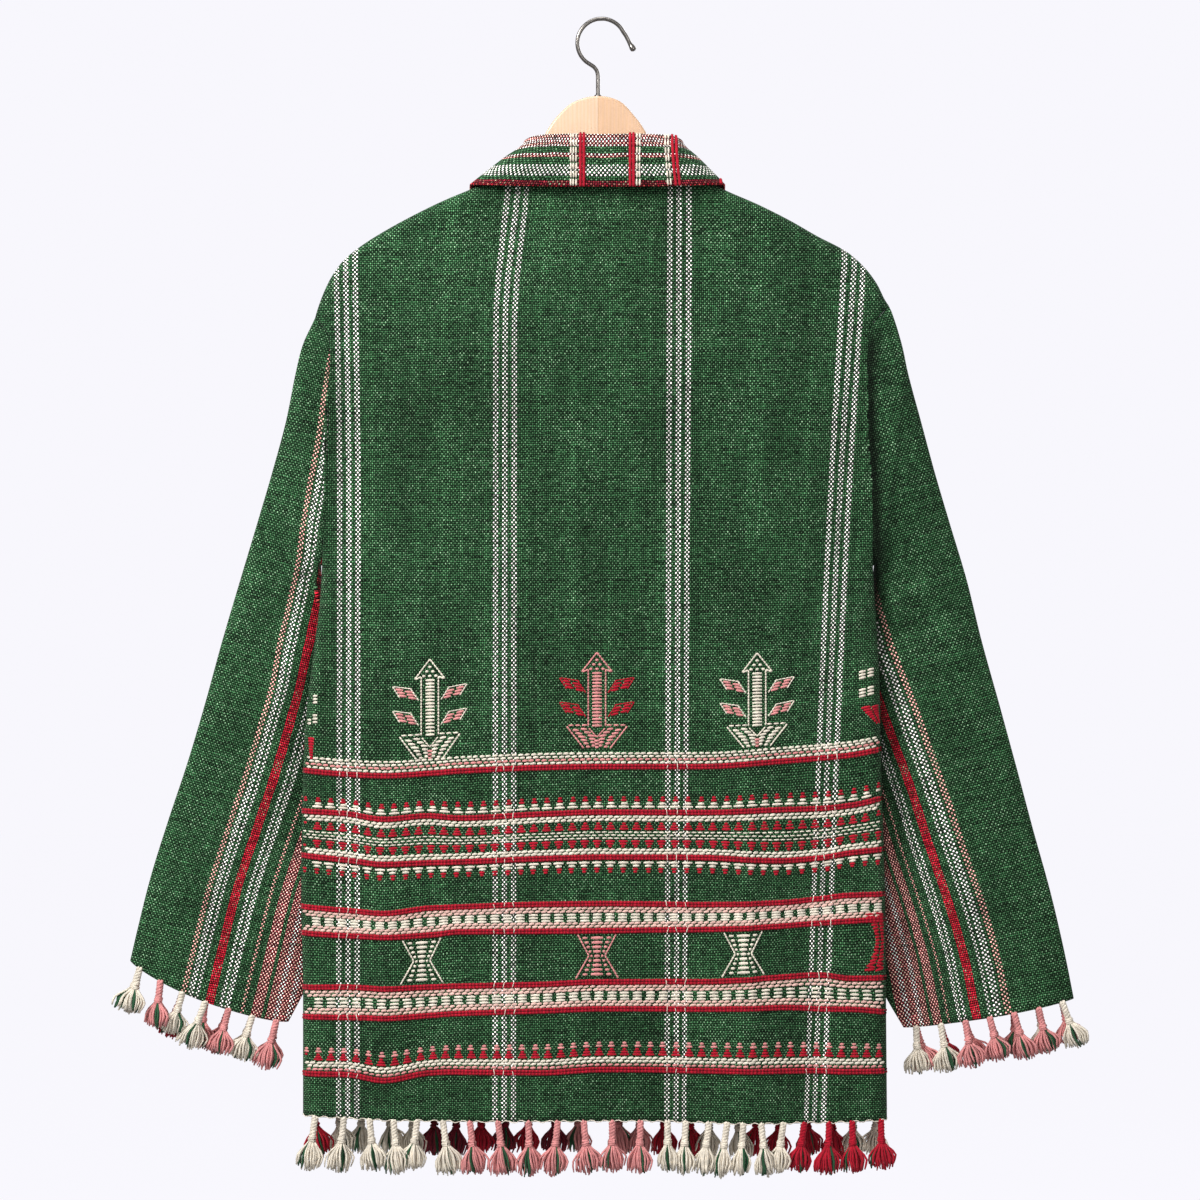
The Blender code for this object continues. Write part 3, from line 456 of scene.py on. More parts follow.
class Shade:
    """Short hand for the nodes of one material."""

    def __init__(self, name, roughness, sheen=0.0, sheen_tint=(1, 1, 1), specular=0.3,
                 metallic=0.0):
        self.material = bpy.data.materials.new(name)
        self.material.use_nodes = True
        self.tree = self.material.node_tree
        self.bsdf = self.tree.nodes["Principled BSDF"]
        for socket, value in (("Roughness", roughness), ("Sheen Weight", sheen),
                              ("Sheen Roughness", 0.45), ("Sheen Tint", (*sheen_tint, 1)),
                              ("Specular IOR Level", specular), ("Metallic", metallic)):
            self.bsdf.inputs[socket].default_value = value

    def add(self, kind, inputs, **settings):
        node = self.tree.nodes.new("ShaderNode" + kind)
        for key, value in settings.items():
            setattr(node, key, value)
        for key, value in inputs.items():
            if isinstance(value, bpy.types.NodeSocket):
                self.tree.links.new(value, node.inputs[key])
            else:
                node.inputs[key].default_value = value
        return node

    def math(self, operation, *values):
        return self.add("Math", dict(enumerate(values)), operation=operation).outputs[0]

    def mix(self, amount, a, b):
        a, b = [(*c, 1) if isinstance(c, tuple) and len(c) == 3 else c for c in (a, b)]
        return self.add("Mix", {0: amount, 6: a, 7: b}, data_type="RGBA").outputs[2]

    def steps(self, value, stops):
        """Colour table along a value from 0 to 1, without blending."""
        ramp = self.tree.nodes.new("ShaderNodeValToRGB")
        ramp.color_ramp.interpolation = "CONSTANT"
        while len(ramp.color_ramp.elements) < len(stops):
            ramp.color_ramp.elements.new(0.5)
        for element, (at, colour) in zip(ramp.color_ramp.elements, stops):
            element.position = at
            element.color = (*colour, 1)
        self.tree.links.new(value, ramp.inputs[0])
        return ramp.outputs[0]

    def uv(self):
        node = self.add("UVMap", {}, uv_map="weave")
        parts = self.add("SeparateXYZ", {0: node.outputs[0]})
        return parts.outputs[0], parts.outputs[1]

    def place(self):
        return self.add("TexCoord", {}).outputs["Object"]

    def vector(self, x, y, z=0.0):
        return self.add("CombineXYZ", {0: x, 1: y, 2: z}).outputs[0]

    def noise(self, where, scale, detail):
        return self.add("TexNoise", {"Vector": where, "Scale": scale,
                                     "Detail": detail}).outputs["Fac"]

    def scatter(self, value):
        return self.add("TexWhiteNoise", {"W": value}, noise_dimensions="1D").outputs["Value"]

    def bright(self, colour, factor):
        return self.add("HueSaturation", {"Color": colour, "Value": factor}).outputs[0]

    def between(self, value, low, high, to_low=0.0, to_high=1.0):
        return self.add("MapRange", {0: value, 1: low, 2: high, 3: to_low, 4: to_high}).outputs[0]

    def finish(self, colour, height, distance, strength):
        self.tree.links.new(colour, self.bsdf.inputs["Base Color"])
        bump = self.add("Bump", {"Height": height, "Distance": distance, "Strength": strength})
        self.tree.links.new(bump.outputs[0], self.bsdf.inputs["Normal"])
        return self.material


WEFT_GREEN = (0.011, 0.046, 0.016)
WARP_GREEN = (0.052, 0.132, 0.058)
# painted highlight colour of the specks on the green weave's crowns
GLINT_GREEN = (0.26, 0.42, 0.25)
WHITE = (0.95, 0.91, 0.85)
PINK_WARP = (0.86, 0.44, 0.38)
RED_WARP = (0.40, 0.011, 0.025)
# painted shade: the collar's red band darkened where it turns away from the light
SHADED_RED_WARP = (0.20, 0.012, 0.024)
DARK_RED = (0.10, 0.006, 0.012)


def weave(name, warp_colour, weft_colour=None, lighter=1.0):
    """Plain-woven wool on the piece's UV map: u across the warp, v down the weft.

    warp_colour and weft_colour take (shade, warp count, weft count) and give the colour."""
    s = Shade(name, 0.9, sheen=0.06, sheen_tint=(0.75, 0.95, 0.78), specular=0.1)
    u, v = s.uv()
    where = s.vector(u, v)
    drift = s.math("SUBTRACT", s.noise(where, 70.0, 3.0), 0.5)
    a = s.math("MULTIPLY_ADD", u, 1 / END, s.math("MULTIPLY", drift, 0.8))
    b = s.math("MULTIPLY_ADD", v, 1 / PICK, s.math("MULTIPLY", drift, 1.4))
    end, pick = s.math("FLOOR", a), s.math("FLOOR", b)
    over = s.math("PINGPONG", s.math("ADD", end, pick), 1.0)
    ra = s.math("SINE", s.math("MULTIPLY", s.math("FRACT", a), math.pi))
    rb = s.math("SINE", s.math("MULTIPLY", s.math("FRACT", b), math.pi))
    both = s.math("MULTIPLY", ra, rb)
    on_top = s.math("ADD", s.math("MULTIPLY", ra, over),
                    s.math("MULTIPLY", rb, s.math("SUBTRACT", 1.0, over)))
    height = s.math("ADD", s.math("MULTIPLY", both, 0.7), s.math("MULTIPLY", on_top, 0.3))
    warp = warp_colour(s, end, pick)
    weft = weft_colour(s, end, pick) if weft_colour else (*WEFT_GREEN, 1)
    # each hand-spun yarn has its own tone, with thick pale slubs along the weft
    pale_yarn = s.math("MULTIPLY", s.math("POWER", s.scatter(end), 4.0), 0.7)
    warp = s.bright(warp, s.math("ADD", pale_yarn, 0.82))
    along_weft = s.noise(s.vector(s.math("MULTIPLY", u, 90.0), s.math("MULTIPLY", pick, 1.37)),
                         1.0, 2.0)
    weft = s.bright(weft, s.math("ADD", s.between(s.scatter(pick), 0.0, 1.0, 0.5, 1.3),
                                 s.between(along_weft, 0.5, 0.75, 0.0, 1.6)))
    colour = s.mix(over, weft, warp)
    # painted highlights: pale green specks on the crowns of some warp crossings, more of them in
    # some patches
    crossing = s.add("TexWhiteNoise", {"Vector": s.vector(end, pick)},
                     noise_dimensions="2D").outputs["Value"]
    patches = s.noise(s.vector(u, s.math("MULTIPLY", v, 1.6)), 22.0, 3.0)
    glint = s.math("MULTIPLY", s.math("POWER", crossing, 3.0),
                   s.between(patches, 0.35, 0.68, 0.1, 0.8))
    glint = s.math("MULTIPLY", s.math("MULTIPLY", glint, over), s.between(both, 0.1, 0.6))
    colour = s.mix(glint, colour, GLINT_GREEN)
    # painted shadow: the sleeve's colour is darkened nearly to black where it lies behind the
    # body's edge
    painted_shadow = s.add("Attribute", {}, attribute_name="painted_shadow").outputs["Fac"]
    colour = s.mix(s.math("MULTIPLY", painted_shadow, 0.93), colour, (0.004, 0.008, 0.004))
    slow = s.noise(s.vector(s.math("MULTIPLY", u, 26.0), s.math("MULTIPLY", v, 7.0)), 1.0, 3.0)
    spun = s.noise(s.vector(s.math("MULTIPLY", u, 210.0), s.math("MULTIPLY", v, 330.0)),
                   1.0, 2.0)
    # painted shade and highlight: the factor read from both darkens the cloth to 0.04 times between
    # the yarns and lightens it to 2.05 times on their crowns; slow and spun vary the tone at
    # random, along_weft darkens short runs of some wefts, and lighter scales the whole
    shade = s.math("MULTIPLY", s.between(slow, 0.25, 0.75, 0.68 * lighter, 1.36 * lighter),
                   s.math("MULTIPLY", s.between(both, 0.15, 0.85, 0.04, 2.05),
                          s.math("MULTIPLY", s.between(spun, 0.3, 0.7, 0.5, 1.4),
                                 s.between(along_weft, 0.30, 0.44, 0.45, 1.0))))
    return s.finish(s.bright(colour, shade), height, 0.0007, 0.9)


def body_warp(s, end, pick):
    """White warp yarns in four groups of three lines, the rest green."""
    near = None
    for group in WARP_GROUPS:
        d = s.math("ABSOLUTE", s.math("SUBTRACT", end, float(group)))
        near = d if near is None else s.math("MINIMUM", near, d)
    middle = s.math("LESS_THAN", near, 1.5)
    sides = s.math("MULTIPLY", s.math("GREATER_THAN", near, 3.5), s.math("LESS_THAN", near, 6.5))
    return s.mix(s.math("ADD", middle, sides), WARP_GREEN, WHITE)


# Stripes across a sleeve, from its outer edge in grid steps: where each colour starts.
SLEEVE_WIDE = 190.0
SLEEVE_STRIPES = [
    (0, WARP_GREEN), (56.8, PINK_WARP), (62.6, WARP_GREEN), (65, WHITE), (69, WARP_GREEN),
    (71, WHITE), (75.5, WARP_GREEN), (82, RED_WARP), (91, WARP_GREEN), (97.5, WHITE),
    (101.5, WARP_GREEN), (103.5, WHITE), (108, WARP_GREEN), (119.5, PINK_WARP),
    (123.5, WARP_GREEN), (131, PINK_WARP), (141, WARP_GREEN), (146, PINK_WARP), (152, WHITE),
    (158, PINK_WARP), (166, WHITE), (170, PINK_WARP), (178, WARP_GREEN)]
SLEEVE_GROUND = [(0, WEFT_GREEN), (82, RED_WARP), (91, WEFT_GREEN), (131, DARK_RED),
                 (141, WEFT_GREEN), (146, DARK_RED), (178, WEFT_GREEN)]


def sleeve_cloth(stripes):
    def colour(s, end, pick):
        across = s.math("MULTIPLY", s.math("ADD", end, 0.5), END / GRID / SLEEVE_WIDE)
        return s.steps(across, [(at / SLEEVE_WIDE, shown) for at, shown in stripes])
    return colour


# Bands down the collar's fall, from its fold to its edge as a share of the fall. The last band is
# red yarn painted darker from 0.89 as painted shade, and red from 0.96 to the edge.
COLLAR_BANDS = [
    (0.0, WHITE), (0.05, PINK_WARP), (0.10, WHITE), (0.16, PINK_WARP), (0.22, WHITE),
    (0.27, WARP_GREEN), (0.36, WHITE), (0.41, PINK_WARP), (0.47, WARP_GREEN), (0.61, WHITE),
    (0.82, WARP_GREEN), (0.89, SHADED_RED_WARP), (0.96, RED_WARP)]
COLLAR_GROUND = [(0.0, DARK_RED), (0.27, WEFT_GREEN), (0.36, DARK_RED), (0.47, WEFT_GREEN),
                 (0.89, DARK_RED)]
COLLAR_FALL = 0.048     # length of the fall in the cloth's own metres


def collar_cloth(bands):
    def colour(s, end, pick):
        share = s.math("MULTIPLY", s.math("ABSOLUTE", s.math("ADD", pick, 0.5)), PICK / COLLAR_FALL)
        return s.steps(share, bands)
    return colour


def wool_yarn(name, colour):
    """Start of a raised yarn's material."""
    pale = tuple(min(1, c + 0.3) for c in colour)
    return Shade(name, 0.85, sheen=0.3, sheen_tint=pale, specular=0.2)


def yarn(name, colour):
    """Wool yarn with fine fibres along it and a soft uneven tone."""
    s = wool_yarn(name, colour)
    place = s.place()
    fibres = s.noise(s.add("Mapping", {0: place, 3: (900, 900, 420)}).outputs[0], 1.0, 3.0)
    tone = s.noise(place, 160.0, 2.0)
    factor = s.math("MULTIPLY", s.between(tone, 0.3, 0.7, 0.8, 1.15),
                    s.between(fibres, 0.3, 0.7, 0.82, 1.12))
    return s.finish(s.bright((*colour, 1), factor), fibres, 0.0004, 0.6)


def packed_yarn(name, colour):
    """Weft packed into a bar: the warp's pitch shows across it as fine dark nicks."""
    s = wool_yarn(name, colour)
    place = s.place()
    x = s.add("SeparateXYZ", {0: place}).outputs[0]
    drift = s.math("MULTIPLY", s.noise(place, 90.0, 2.0), 6.0)
    ripple = s.math("SINE", s.math("MULTIPLY_ADD", x, 2 * math.pi / (1.9 * END), drift))
    tone = s.noise(place, 220.0, 3.0)
    factor = s.math("MULTIPLY", s.between(ripple, -1.0, 0.6, 0.55, 1.1),
                    s.between(tone, 0.3, 0.7, 0.65, 1.2))
    return s.finish(s.bright((*colour, 1), factor), ripple, 0.0005, 0.7)


def maple(name):
    """Pale lacquered wood: long soft grain, its two halves of slightly different tone."""
    s = Shade(name, 0.38, specular=0.45)
    place = s.place()
    parts = s.add("SeparateXYZ", {0: place})
    grain_at = s.add("Mapping", {0: place, 3: (260, 60, 12)}).outputs[0]
    bend = s.noise(place, 30.0, 2.0)
    rings = s.add("TexWave", {"Vector": grain_at, "Scale": 0.35, "Distortion": 5.0,
                              "Detail": 2.0}).outputs["Fac"]
    fine = s.noise(s.add("Mapping", {0: place, 3: (1400, 900, 45)}).outputs[0], 1.0, 3.0)
    middle = float(gx(HANGER_MIDDLE))
    half = s.math("GREATER_THAN", parts.outputs[0], middle)
    base = s.mix(half, (0.70, 0.50, 0.35), (0.64, 0.41, 0.26))
    colour = s.mix(s.between(rings, 0.2, 0.9, 0.0, 0.35), base, (0.66, 0.40, 0.20))
    from_middle = s.math("ABSOLUTE", s.math("SUBTRACT", parts.outputs[0], middle))
    seam = s.math("LESS_THAN", from_middle, 0.00022)
    colour = s.mix(s.math("MULTIPLY", seam, 0.6), colour, (0.35, 0.2, 0.1))
    factor = s.math("MULTIPLY", s.between(fine, 0.3, 0.7, 0.93, 1.05),
                    s.between(bend, 0.3, 0.7, 0.96, 1.04))
    s.bsdf.inputs["Coat Weight"].default_value = 0.3
    s.bsdf.inputs["Coat Roughness"].default_value = 0.25
    return s.finish(s.bright(colour, factor), fine, 0.0001, 0.25)


def steel(name):
    s = Shade(name, 0.26, specular=0.5, metallic=1.0)
    scratches = s.noise(s.add("Mapping", {0: s.place(), 3: (900, 900, 160)}).outputs[0], 1.0, 3.0)
    colour = s.mix(s.between(scratches, 0.3, 0.7), (0.17, 0.155, 0.14), (0.30, 0.28, 0.26))
    return s.finish(colour, scratches, 0.00005, 0.3)


def plain(name, colour, glow):
    s = Shade(name, 0.9, specular=0.0)
    s.bsdf.inputs["Base Color"].default_value = (0.02, 0.02, 0.02, 1)
    s.bsdf.inputs["Emission Color"].default_value = (*colour, 1)
    s.bsdf.inputs["Emission Strength"].default_value = glow
    return s.material


WOOL_BODY = weave("green_wool_body", body_warp)
SLEEVE_YARNS = sleeve_cloth(SLEEVE_STRIPES), sleeve_cloth(SLEEVE_GROUND)
# painted light: the sleeves' cloth, the same on both, is painted 1.24 times as light on the left,
# on the key lamp's side, and 1.06 times on the right
WOOL_LEFT = weave("green_wool_left_sleeve", *SLEEVE_YARNS, lighter=1.24)
WOOL_RIGHT = weave("green_wool_right_sleeve", *SLEEVE_YARNS, lighter=1.06)
WOOL_COLLAR = weave("striped_wool_collar", collar_cloth(COLLAR_BANDS),
                    collar_cloth(COLLAR_GROUND), lighter=1.1)
YARNS = [yarn("yarn_" + key, colour) for key, colour in YARN_COLOURS.items()]
YARNS.append(packed_yarn("packed_red", YARN_COLOURS["red"]))


def hidden_length(p, axis, weight=1.0):
    """Cloth used up in depth along a grid, more than its width as seen from the back."""
    d = np.diff(p, axis=axis)
    extra = np.linalg.norm(d, axis=-1) - np.linalg.norm(d[..., [0, 2]], axis=-1)
    extra = np.concatenate([np.zeros_like(np.take(extra, [0], axis)), extra], axis) * weight
    return np.cumsum(extra, axis)


# Body

def spaced(keys, steps):
    """Points between key values, an even number of steps in each stretch."""
    parts = [np.linspace(a, b, n, endpoint=False) for a, b, n in zip(keys, keys[1:], steps)]
    return np.concatenate(parts + [[keys[-1]]])


# 0 at the shoulder, 1 at the underarm, 2 at the hem
PANEL_ROWS = np.concatenate([[0, 0.002, 0.006],
                             (1 - np.cos(math.pi * np.arange(9, 91) / 90)) / 2,
                             1 + np.arange(1, 97) / 96])
PANEL_COLUMNS = {
    "back": spaced([315, 318, 330, 500, 515, 690, 704, 875, 886, 889],
                   [3, 6, 44, 6, 46, 6, 44, 6, 3]),
    "front_left": spaced([315, 318, 330, 500, 515, 595], [3, 6, 40, 6, 24]),
    "front_right": spaced([601, 690, 704, 875, 886, 889], [26, 6, 40, 6, 3])}


def body_panel(name):
    front = name != "back"
    way = 1 if front else -1
    columns = PANEL_COLUMNS[name]
    p, px, py = panel_points(name, columns, PANEL_ROWS)
    uv = np.stack([warp_at(px, py) * END, weft_at(front, px, py) * GRID], -1)
    lx, rx = row_places(PANEL_ROWS, -1)[0][:, None], row_places(PANEL_ROWS, 1)[0][:, None]
    turn = 1 - smooth((np.minimum(px - lx, rx - px) * GRID - SIDE_ROUND) / TURN_FADE)
    used = hidden_length(p, 1, turn)
    uv[..., 0] += used - used[:, [used.shape[1] // 2]]
    top = 1 - smooth(((py - RIDGE(px)) * GRID - RIDGE_ROUND) / TURN_FADE)
    used = hidden_length(p, 0, top)
    uv[..., 1] += used - used[[-1]]
    ob = cloth_sheet("wool_" + name, p, uv, WOOL_BODY, outward=(0, way, 0))
    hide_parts(name)
    n = grid_normals(p)
    n = n * np.sign(n[..., 1:2] * way + 1e-9)
    slope = RIDGE(columns + 0.5) - RIDGE(columns - 0.5)
    outside = (columns <= NECK_L) | (columns >= NECK_R)
    n[0, outside] = unit(np.stack([slope, 0 * slope, np.ones_like(slope)], -1))[outside]
    return ob, p, n


# Raised weft pattern

def float_template():
    """Upper half of a squared-off oval, closed below: one raised length of yarn."""
    bm = bmesh.new()
    bmesh.ops.create_uvsphere(bm, u_segments=6, v_segments=4, radius=1.0)
    bmesh.ops.bisect_plane(bm, geom=bm.verts[:] + bm.edges[:] + bm.faces[:],
                           plane_co=(0, 0, 0), plane_no=(0, 0, 1), clear_inner=True)
    bmesh.ops.holes_fill(bm, edges=[e for e in bm.edges if e.is_boundary])
    bm.verts.ensure_lookup_table()
    verts = np.array([v.co for v in bm.verts])
    verts[:, :2] = np.sign(verts[:, :2]) * np.abs(verts[:, :2]) ** 0.8
    faces = [[v.index for v in f.verts] for f in bm.faces]
    bm.free()
    return verts, faces


FLOAT_VERTS, FLOAT_FACES = float_template()
FLOAT_HIGH = 0.0011     # how far a raised yarn stands off the cloth
FLOAT_SUNK = 0.0001     # how far its flat side lies in the cloth


class Pattern:
    """Raised yarns of one body panel, listed in grid columns and weft levels."""

    def __init__(self, name, seed):
        self.name, self.front = name, name != "back"
        self.rng = np.random.default_rng(seed)
        self.floats, self.bars = [], []

    def mark(self, px, weft, half, high, slot, tilt=0.0, lift=1.0):
        """One float: its place, half length and half width in grid steps, tilt in degrees."""
        self.floats.append((px, weft, half, high, tilt, lift, slot))

    def row(self, weft, slot, pitch=6.4, half=2.9, high=1.35, shift=0.0, tilt=0.0, lift=1.0):
        """A running row of floats from side to side."""
        lo, hi = self.limits(weft)
        stray = self.rng.uniform
        for px in np.arange(lo - pitch + shift % pitch, hi + pitch, pitch):
            self.mark(px + stray(-0.35, 0.35), weft + stray(-0.15, 0.15), half * stray(0.9, 1.08),
                      high * stray(0.9, 1.1), slot, tilt + stray(-3, 3), lift)

    def rope(self, weft, slot, shift=0.0):
        """Two rows of slanting floats, as one twisted cord."""
        for k in (-1, 1):
            self.row(weft + 1.5 * k, slot, 6.2, 3.15, 1.5, shift + 1.5 * k, 9.0)

    def limits(self, weft):
        q = np.array([1 + (weft - UNDERARM) / (HEM_BACK - UNDERARM)])
        lo, hi = float(row_places(q, -1)[0][0]), float(row_places(q, 1)[0][0])
        if self.name == "front_left":
            hi = float(OPEN_L(weft))
        if self.name == "front_right":
            lo = float(OPEN_R(weft))
        return lo, hi

    def surface(self, px, weft):
        return body_place(self.front, px, weft + wave(self.front, px, weft))

    def piece(self):
        bundle = Bundle()
        f = np.array(self.floats, float)
        lo, hi = np.array([self.limits(w) for w in f[:, 1]]).T
        f = f[(f[:, 0] - f[:, 2] > lo + 0.6) & (f[:, 0] + f[:, 2] < hi - 0.6)]
        px, weft, half, high, tilt, lift, slot = f.T
        at = self.surface(px, weft)
        along = unit(self.surface(px + 1.5, weft) - self.surface(px - 1.5, weft))
        up = unit(self.surface(px, weft - 1.5) - self.surface(px, weft + 1.5))
        out = unit(np.cross(along, up)) * (-1 if self.front else 1)
        up = np.cross(out, along) * (-1 if self.front else 1)
        ca, sa = np.cos(np.radians(tilt))[:, None], np.sin(np.radians(tilt))[:, None]
        along, up = along * ca + up * sa, up * ca - along * sa
        tx, ty, tz = [FLOAT_VERTS[None, :, [c]] for c in range(3)]
        count = len(FLOAT_VERTS)
        for slot_id in sorted(set(slot.astype(int))):
            k = slot.astype(int) == slot_id
            long, wide = (half[k] * GRID)[:, None, None], (high[k] * GRID)[:, None, None]
            v = (at[k][:, None] + tx * long * along[k][:, None] + ty * wide * up[k][:, None]
                 + (tz * FLOAT_HIGH * lift[k][:, None, None] - FLOAT_SUNK) * out[k][:, None])
            faces = [[i + n * count for i in face] for n in range(k.sum()) for face in FLOAT_FACES]
            if self.front:
                faces = [face[::-1] for face in faces]
            bundle.add(v.reshape(-1, 3), faces, slot_id)
        for weft0, radius, slot_id in self.bars:
            lo, hi = self.limits(weft0)
            xs = np.linspace(lo + 0.8, hi - 0.8, int((hi - lo) / 3.2))
            w = weft0 + 0 * xs
            path = self.surface(xs, w) + [0, (0.0003 if self.front else -0.0003), 0]
            wobble = 1 + 0.10 * np.sin(np.arange(len(xs)) * 2.1 + weft0)
            v, faces = yarn_tubes(path[None], radius * wobble[None], 6)
            bundle.add(v, faces, slot_id)
        return bundle.piece("pattern_" + self.name, YARNS, "striped_wool")


REPEAT = 12.7           # grid columns from one tooth of a band to the next
BAR_R = 0.00135         # radius of each of a red bar's two yarns


def teeth(pattern, weft, halves, step, slot, shift):
    """Small triangles: rows of floats that widen or narrow downwards."""
    lo, hi = pattern.limits(weft)
    for px in np.arange(lo + shift % REPEAT, hi, REPEAT):
        px = px + pattern.rng.uniform(-0.5, 0.5)
        for k, half in enumerate(halves):
            pattern.mark(px, weft + k * step, half, 1.4, slot, 0, 1.05)


def red_bar(pattern, weft):
    """Two packed yarns side by side; at the back the white warp shows over them as ticks."""
    for off in (-1.35, 1.35):
        pattern.bars.append((weft + off, BAR_R, PACKED))
    if pattern.front:
        return
    stray = pattern.rng.uniform
    for read in GROUP_AT:
        for line in (-9.2, 0.0, 9.2):
            px = float(read(weft)) + line + stray(-1.2, 1.2)
            pattern.mark(px, weft + stray(-0.8, 0.8), stray(2.4, 4.4), 0.55, CREAM,
                         90 + stray(-20, 20), 2.4)


def bands(p, phase):
    """The woven bands across the skirt of the jacket, from the highest down."""
    for k, (weft, slot) in enumerate(((752, CREAM), (755, CREAM), (758, PINK), (761, CREAM))):
        p.row(weft, slot, shift=2.1 * k, tilt=4.0)
    red_bar(p, 765.3)
    # second band: teeth outside, ropes and dotted rows between
    teeth(p, 795.8, (2.2, 3.1), 2.7, RED, phase)
    teeth(p, 801.6, (3.6,), 0, CREAM, phase)
    teeth(p, 804.8, (5.7,), 0, CREAM, phase)
    red_bar(p, 810.3)
    p.rope(816.4, CREAM)
    teeth(p, 821.6, (2.2, 3.8, 5.0), 2.6, RED, phase)
    for k, weft in enumerate((830.2, 833.2, 836.2)):
        p.row(weft, CREAM, REPEAT / 2, 2.7, 0.85, phase + REPEAT / 4 * (k % 2), lift=0.8)
    teeth(p, 839.2, (5.0, 3.8, 2.2), 2.6, RED, phase)
    p.rope(849.2, CREAM, 2.0)
    red_bar(p, 855.0)
    teeth(p, 860.3, (5.7,), 0, CREAM, phase)
    teeth(p, 863.4, (3.6,), 0, CREAM, phase)
    teeth(p, 866.6, (3.1, 2.2), 2.7, RED, phase)
    # two like bands of cream blocks between pink ropes
    for top in (898.7, 976.2):
        red_bar(p, top + 2.4)
        p.rope(top + 8.4, BLUSH)
        for k in range(3):
            teeth(p, top + 13.2 + 3.0 * k, (5.0,), 0, CREAM, phase)
        p.rope(top + 23.4, BLUSH, 3.0)
        red_bar(p, top + 29.2)
    # lowest band
    teeth(p, 1039.0, (2.3, 3.6), 2.9, PINK, phase)
    teeth(p, 1045.2, (2.2, 3.8, 5.0), 2.6, RED, phase)
    p.rope(1055.5, CREAM)
    p.row(1060.6, PINK, tilt=8.0)
    red_bar(p, 1065.5)


def slanted(pattern, x0, w0, x1, w1, slot, spacing=3.4, half=2.0, high=0.95):
    """A thin outline of short floats from one grid place to another."""
    length = math.hypot(x1 - x0, w1 - w0)
    tilt = (math.degrees(math.atan2(w0 - w1, x1 - x0)) + 90) % 180 - 90
    count = max(1, round(length / spacing))
    for k in range(count):
        t = (k + 0.5) / count
        pattern.mark(x0 + (x1 - x0) * t, w0 + (w1 - w0) * t, half, high, slot, tilt, 0.9)


def tree(pattern, axis, foot, stem, leaf, leaf_edge):
    """Small tree: arrow head, laddered stem, two pairs of leaves and a boat-shaped foot."""
    top = foot - 97

    def line(side, x0, w0, x1, w1, slot, *size):
        slanted(pattern, axis + side * x0, w0, axis + side * x1, w1, slot, *size)

    for side in (-1, 1):
        line(side, 0, top, 15, top + 19, stem)
        line(side, 8.6, top + 17, 8.6, foot - 24, stem, 3.2, 1.7, 0.9)
        line(side, 14, top + 19, 9, top + 17, stem)
        for level in (top + 34, top + 58):
            for k in range(3):
                rise = (k - 1) * 3.1
                for m in range(2):
                    pattern.mark(axis + side * (19 + 9.6 * m) + side * 1.6 * (1 - k),
                                 level + rise - 2.6 * m, 4.3, 1.35, leaf, side * 12)
            line(side, 11, level + 6, 19, level - 6, leaf_edge, 3.4, 1.9, 0.8)
            line(side, 30, level + 2, 37, level - 9, leaf_edge, 3.4, 1.9, 0.8)
            line(side, 18, level - 6, 36, level - 9, leaf_edge, 4, 2.2, 0.7)
        line(side, 30, foot - 24, 13, foot - 2, stem)
        line(side, 9, foot - 25, 29, foot - 25, stem, 6.4, 2.8, 1.0)
    for row in range(3):
        for k in range(row + 1):
            pattern.mark(axis + (k - row / 2) * 6.0, top + 7.5 + row * 4.4, 1.8, 1.4, stem)
    for k in range(17):
        pattern.mark(axis, top + 20.5 + k * 3.25, 5.4, 1.35, stem)
    for side in (-1, 1):
        line(side, 8, foot - 22, 0, foot - 13, stem, 3.4, 1.8, 0.8)
        for k in range(6):
            level, reach = foot - 20.6 + 3.3 * k, 25.0 - 2.7 * k
            inner = max(9.0 - 4.0 * k, 0.8)
            middle, half = (inner + reach) / 2, (reach - inner) / 2
            for m in (-1, 1):
                pattern.mark(axis + side * (middle + m * half / 2), level + 0.5 * m,
                             max(half / 2 - 0.5, 1.2), 1.35, stem, side * 8)
    for k in range(3):
        pattern.mark(axis, foot - 9.5 + 3.2 * k, 3.0 - 0.5 * k, 1.3,
                     leaf if stem != PINK else stem)


def hourglass(pattern, axis, slot):
    """Two triangles point to point between the block bands."""
    top = 931.5
    for side in (-1, 1):
        slanted(pattern, axis + side * 19, top, axis + side * 8, top + 21, slot)
        slanted(pattern, axis + side * 8, top + 21, axis + side * 21, top + 43, slot)
    for k in range(9):
        level = top + 3.4 + 4.5 * k
        reach = abs(level - (top + 21.5)) * 0.52 + 7.5
        pattern.mark(axis, level, reach * 0.42, 1.7, slot)
        for side in (-1, 1):
            pattern.mark(axis + side * reach * 0.70, level, max(reach * 0.16, 1.3), 1.4, slot)


def edge_motifs(pattern):
    """Parts of motifs that run out of the back's side edges."""
    for x, step, levels in ((865.5, 8.5, (680, 698.5)), (313.0, 6.0, (697, 716))):
        for level in levels:
            for k in (-1, 0, 1):
                for m in (-1, 1):
                    pattern.mark(x + m * step / 2, level + 3.2 * k - 0.8 * m, step * 0.47,
                                 1.35, CREAM, 8)
    for k in range(8):
        left = 859 + 2.2 * k
        for m in (0.27, 0.73):
            pattern.mark(left + (880 - left) * m, 715 + 2.8 * k, (880 - left) * 0.25, 1.5, RED, 5)
        pattern.mark(312, 734 + 2.6 * k, 4.0 - 0.3 * k, 1.5, RED)
    for k in range(19):
        left = 863 + 11 * math.sin(math.pi * k / 18)
        for m in (0.25, 0.72):
            pattern.mark(left + (884.5 - left) * m, 922 + 2.7 * k, (884.5 - left) * 0.26, 1.5, RED,
                         pattern.rng.uniform(-18, 18), 1.2)


def weft_pattern(name, seed, phase, trees, glasses):
    pattern = Pattern(name, seed)
    bands(pattern, phase)
    for axis, foot, stem, leaf, edge in trees:
        tree(pattern, axis, foot, stem, leaf, edge)
    for axis, slot in glasses:
        hourglass(pattern, axis, slot)
    if name == "back":
        edge_motifs(pattern)
    return pattern.piece()


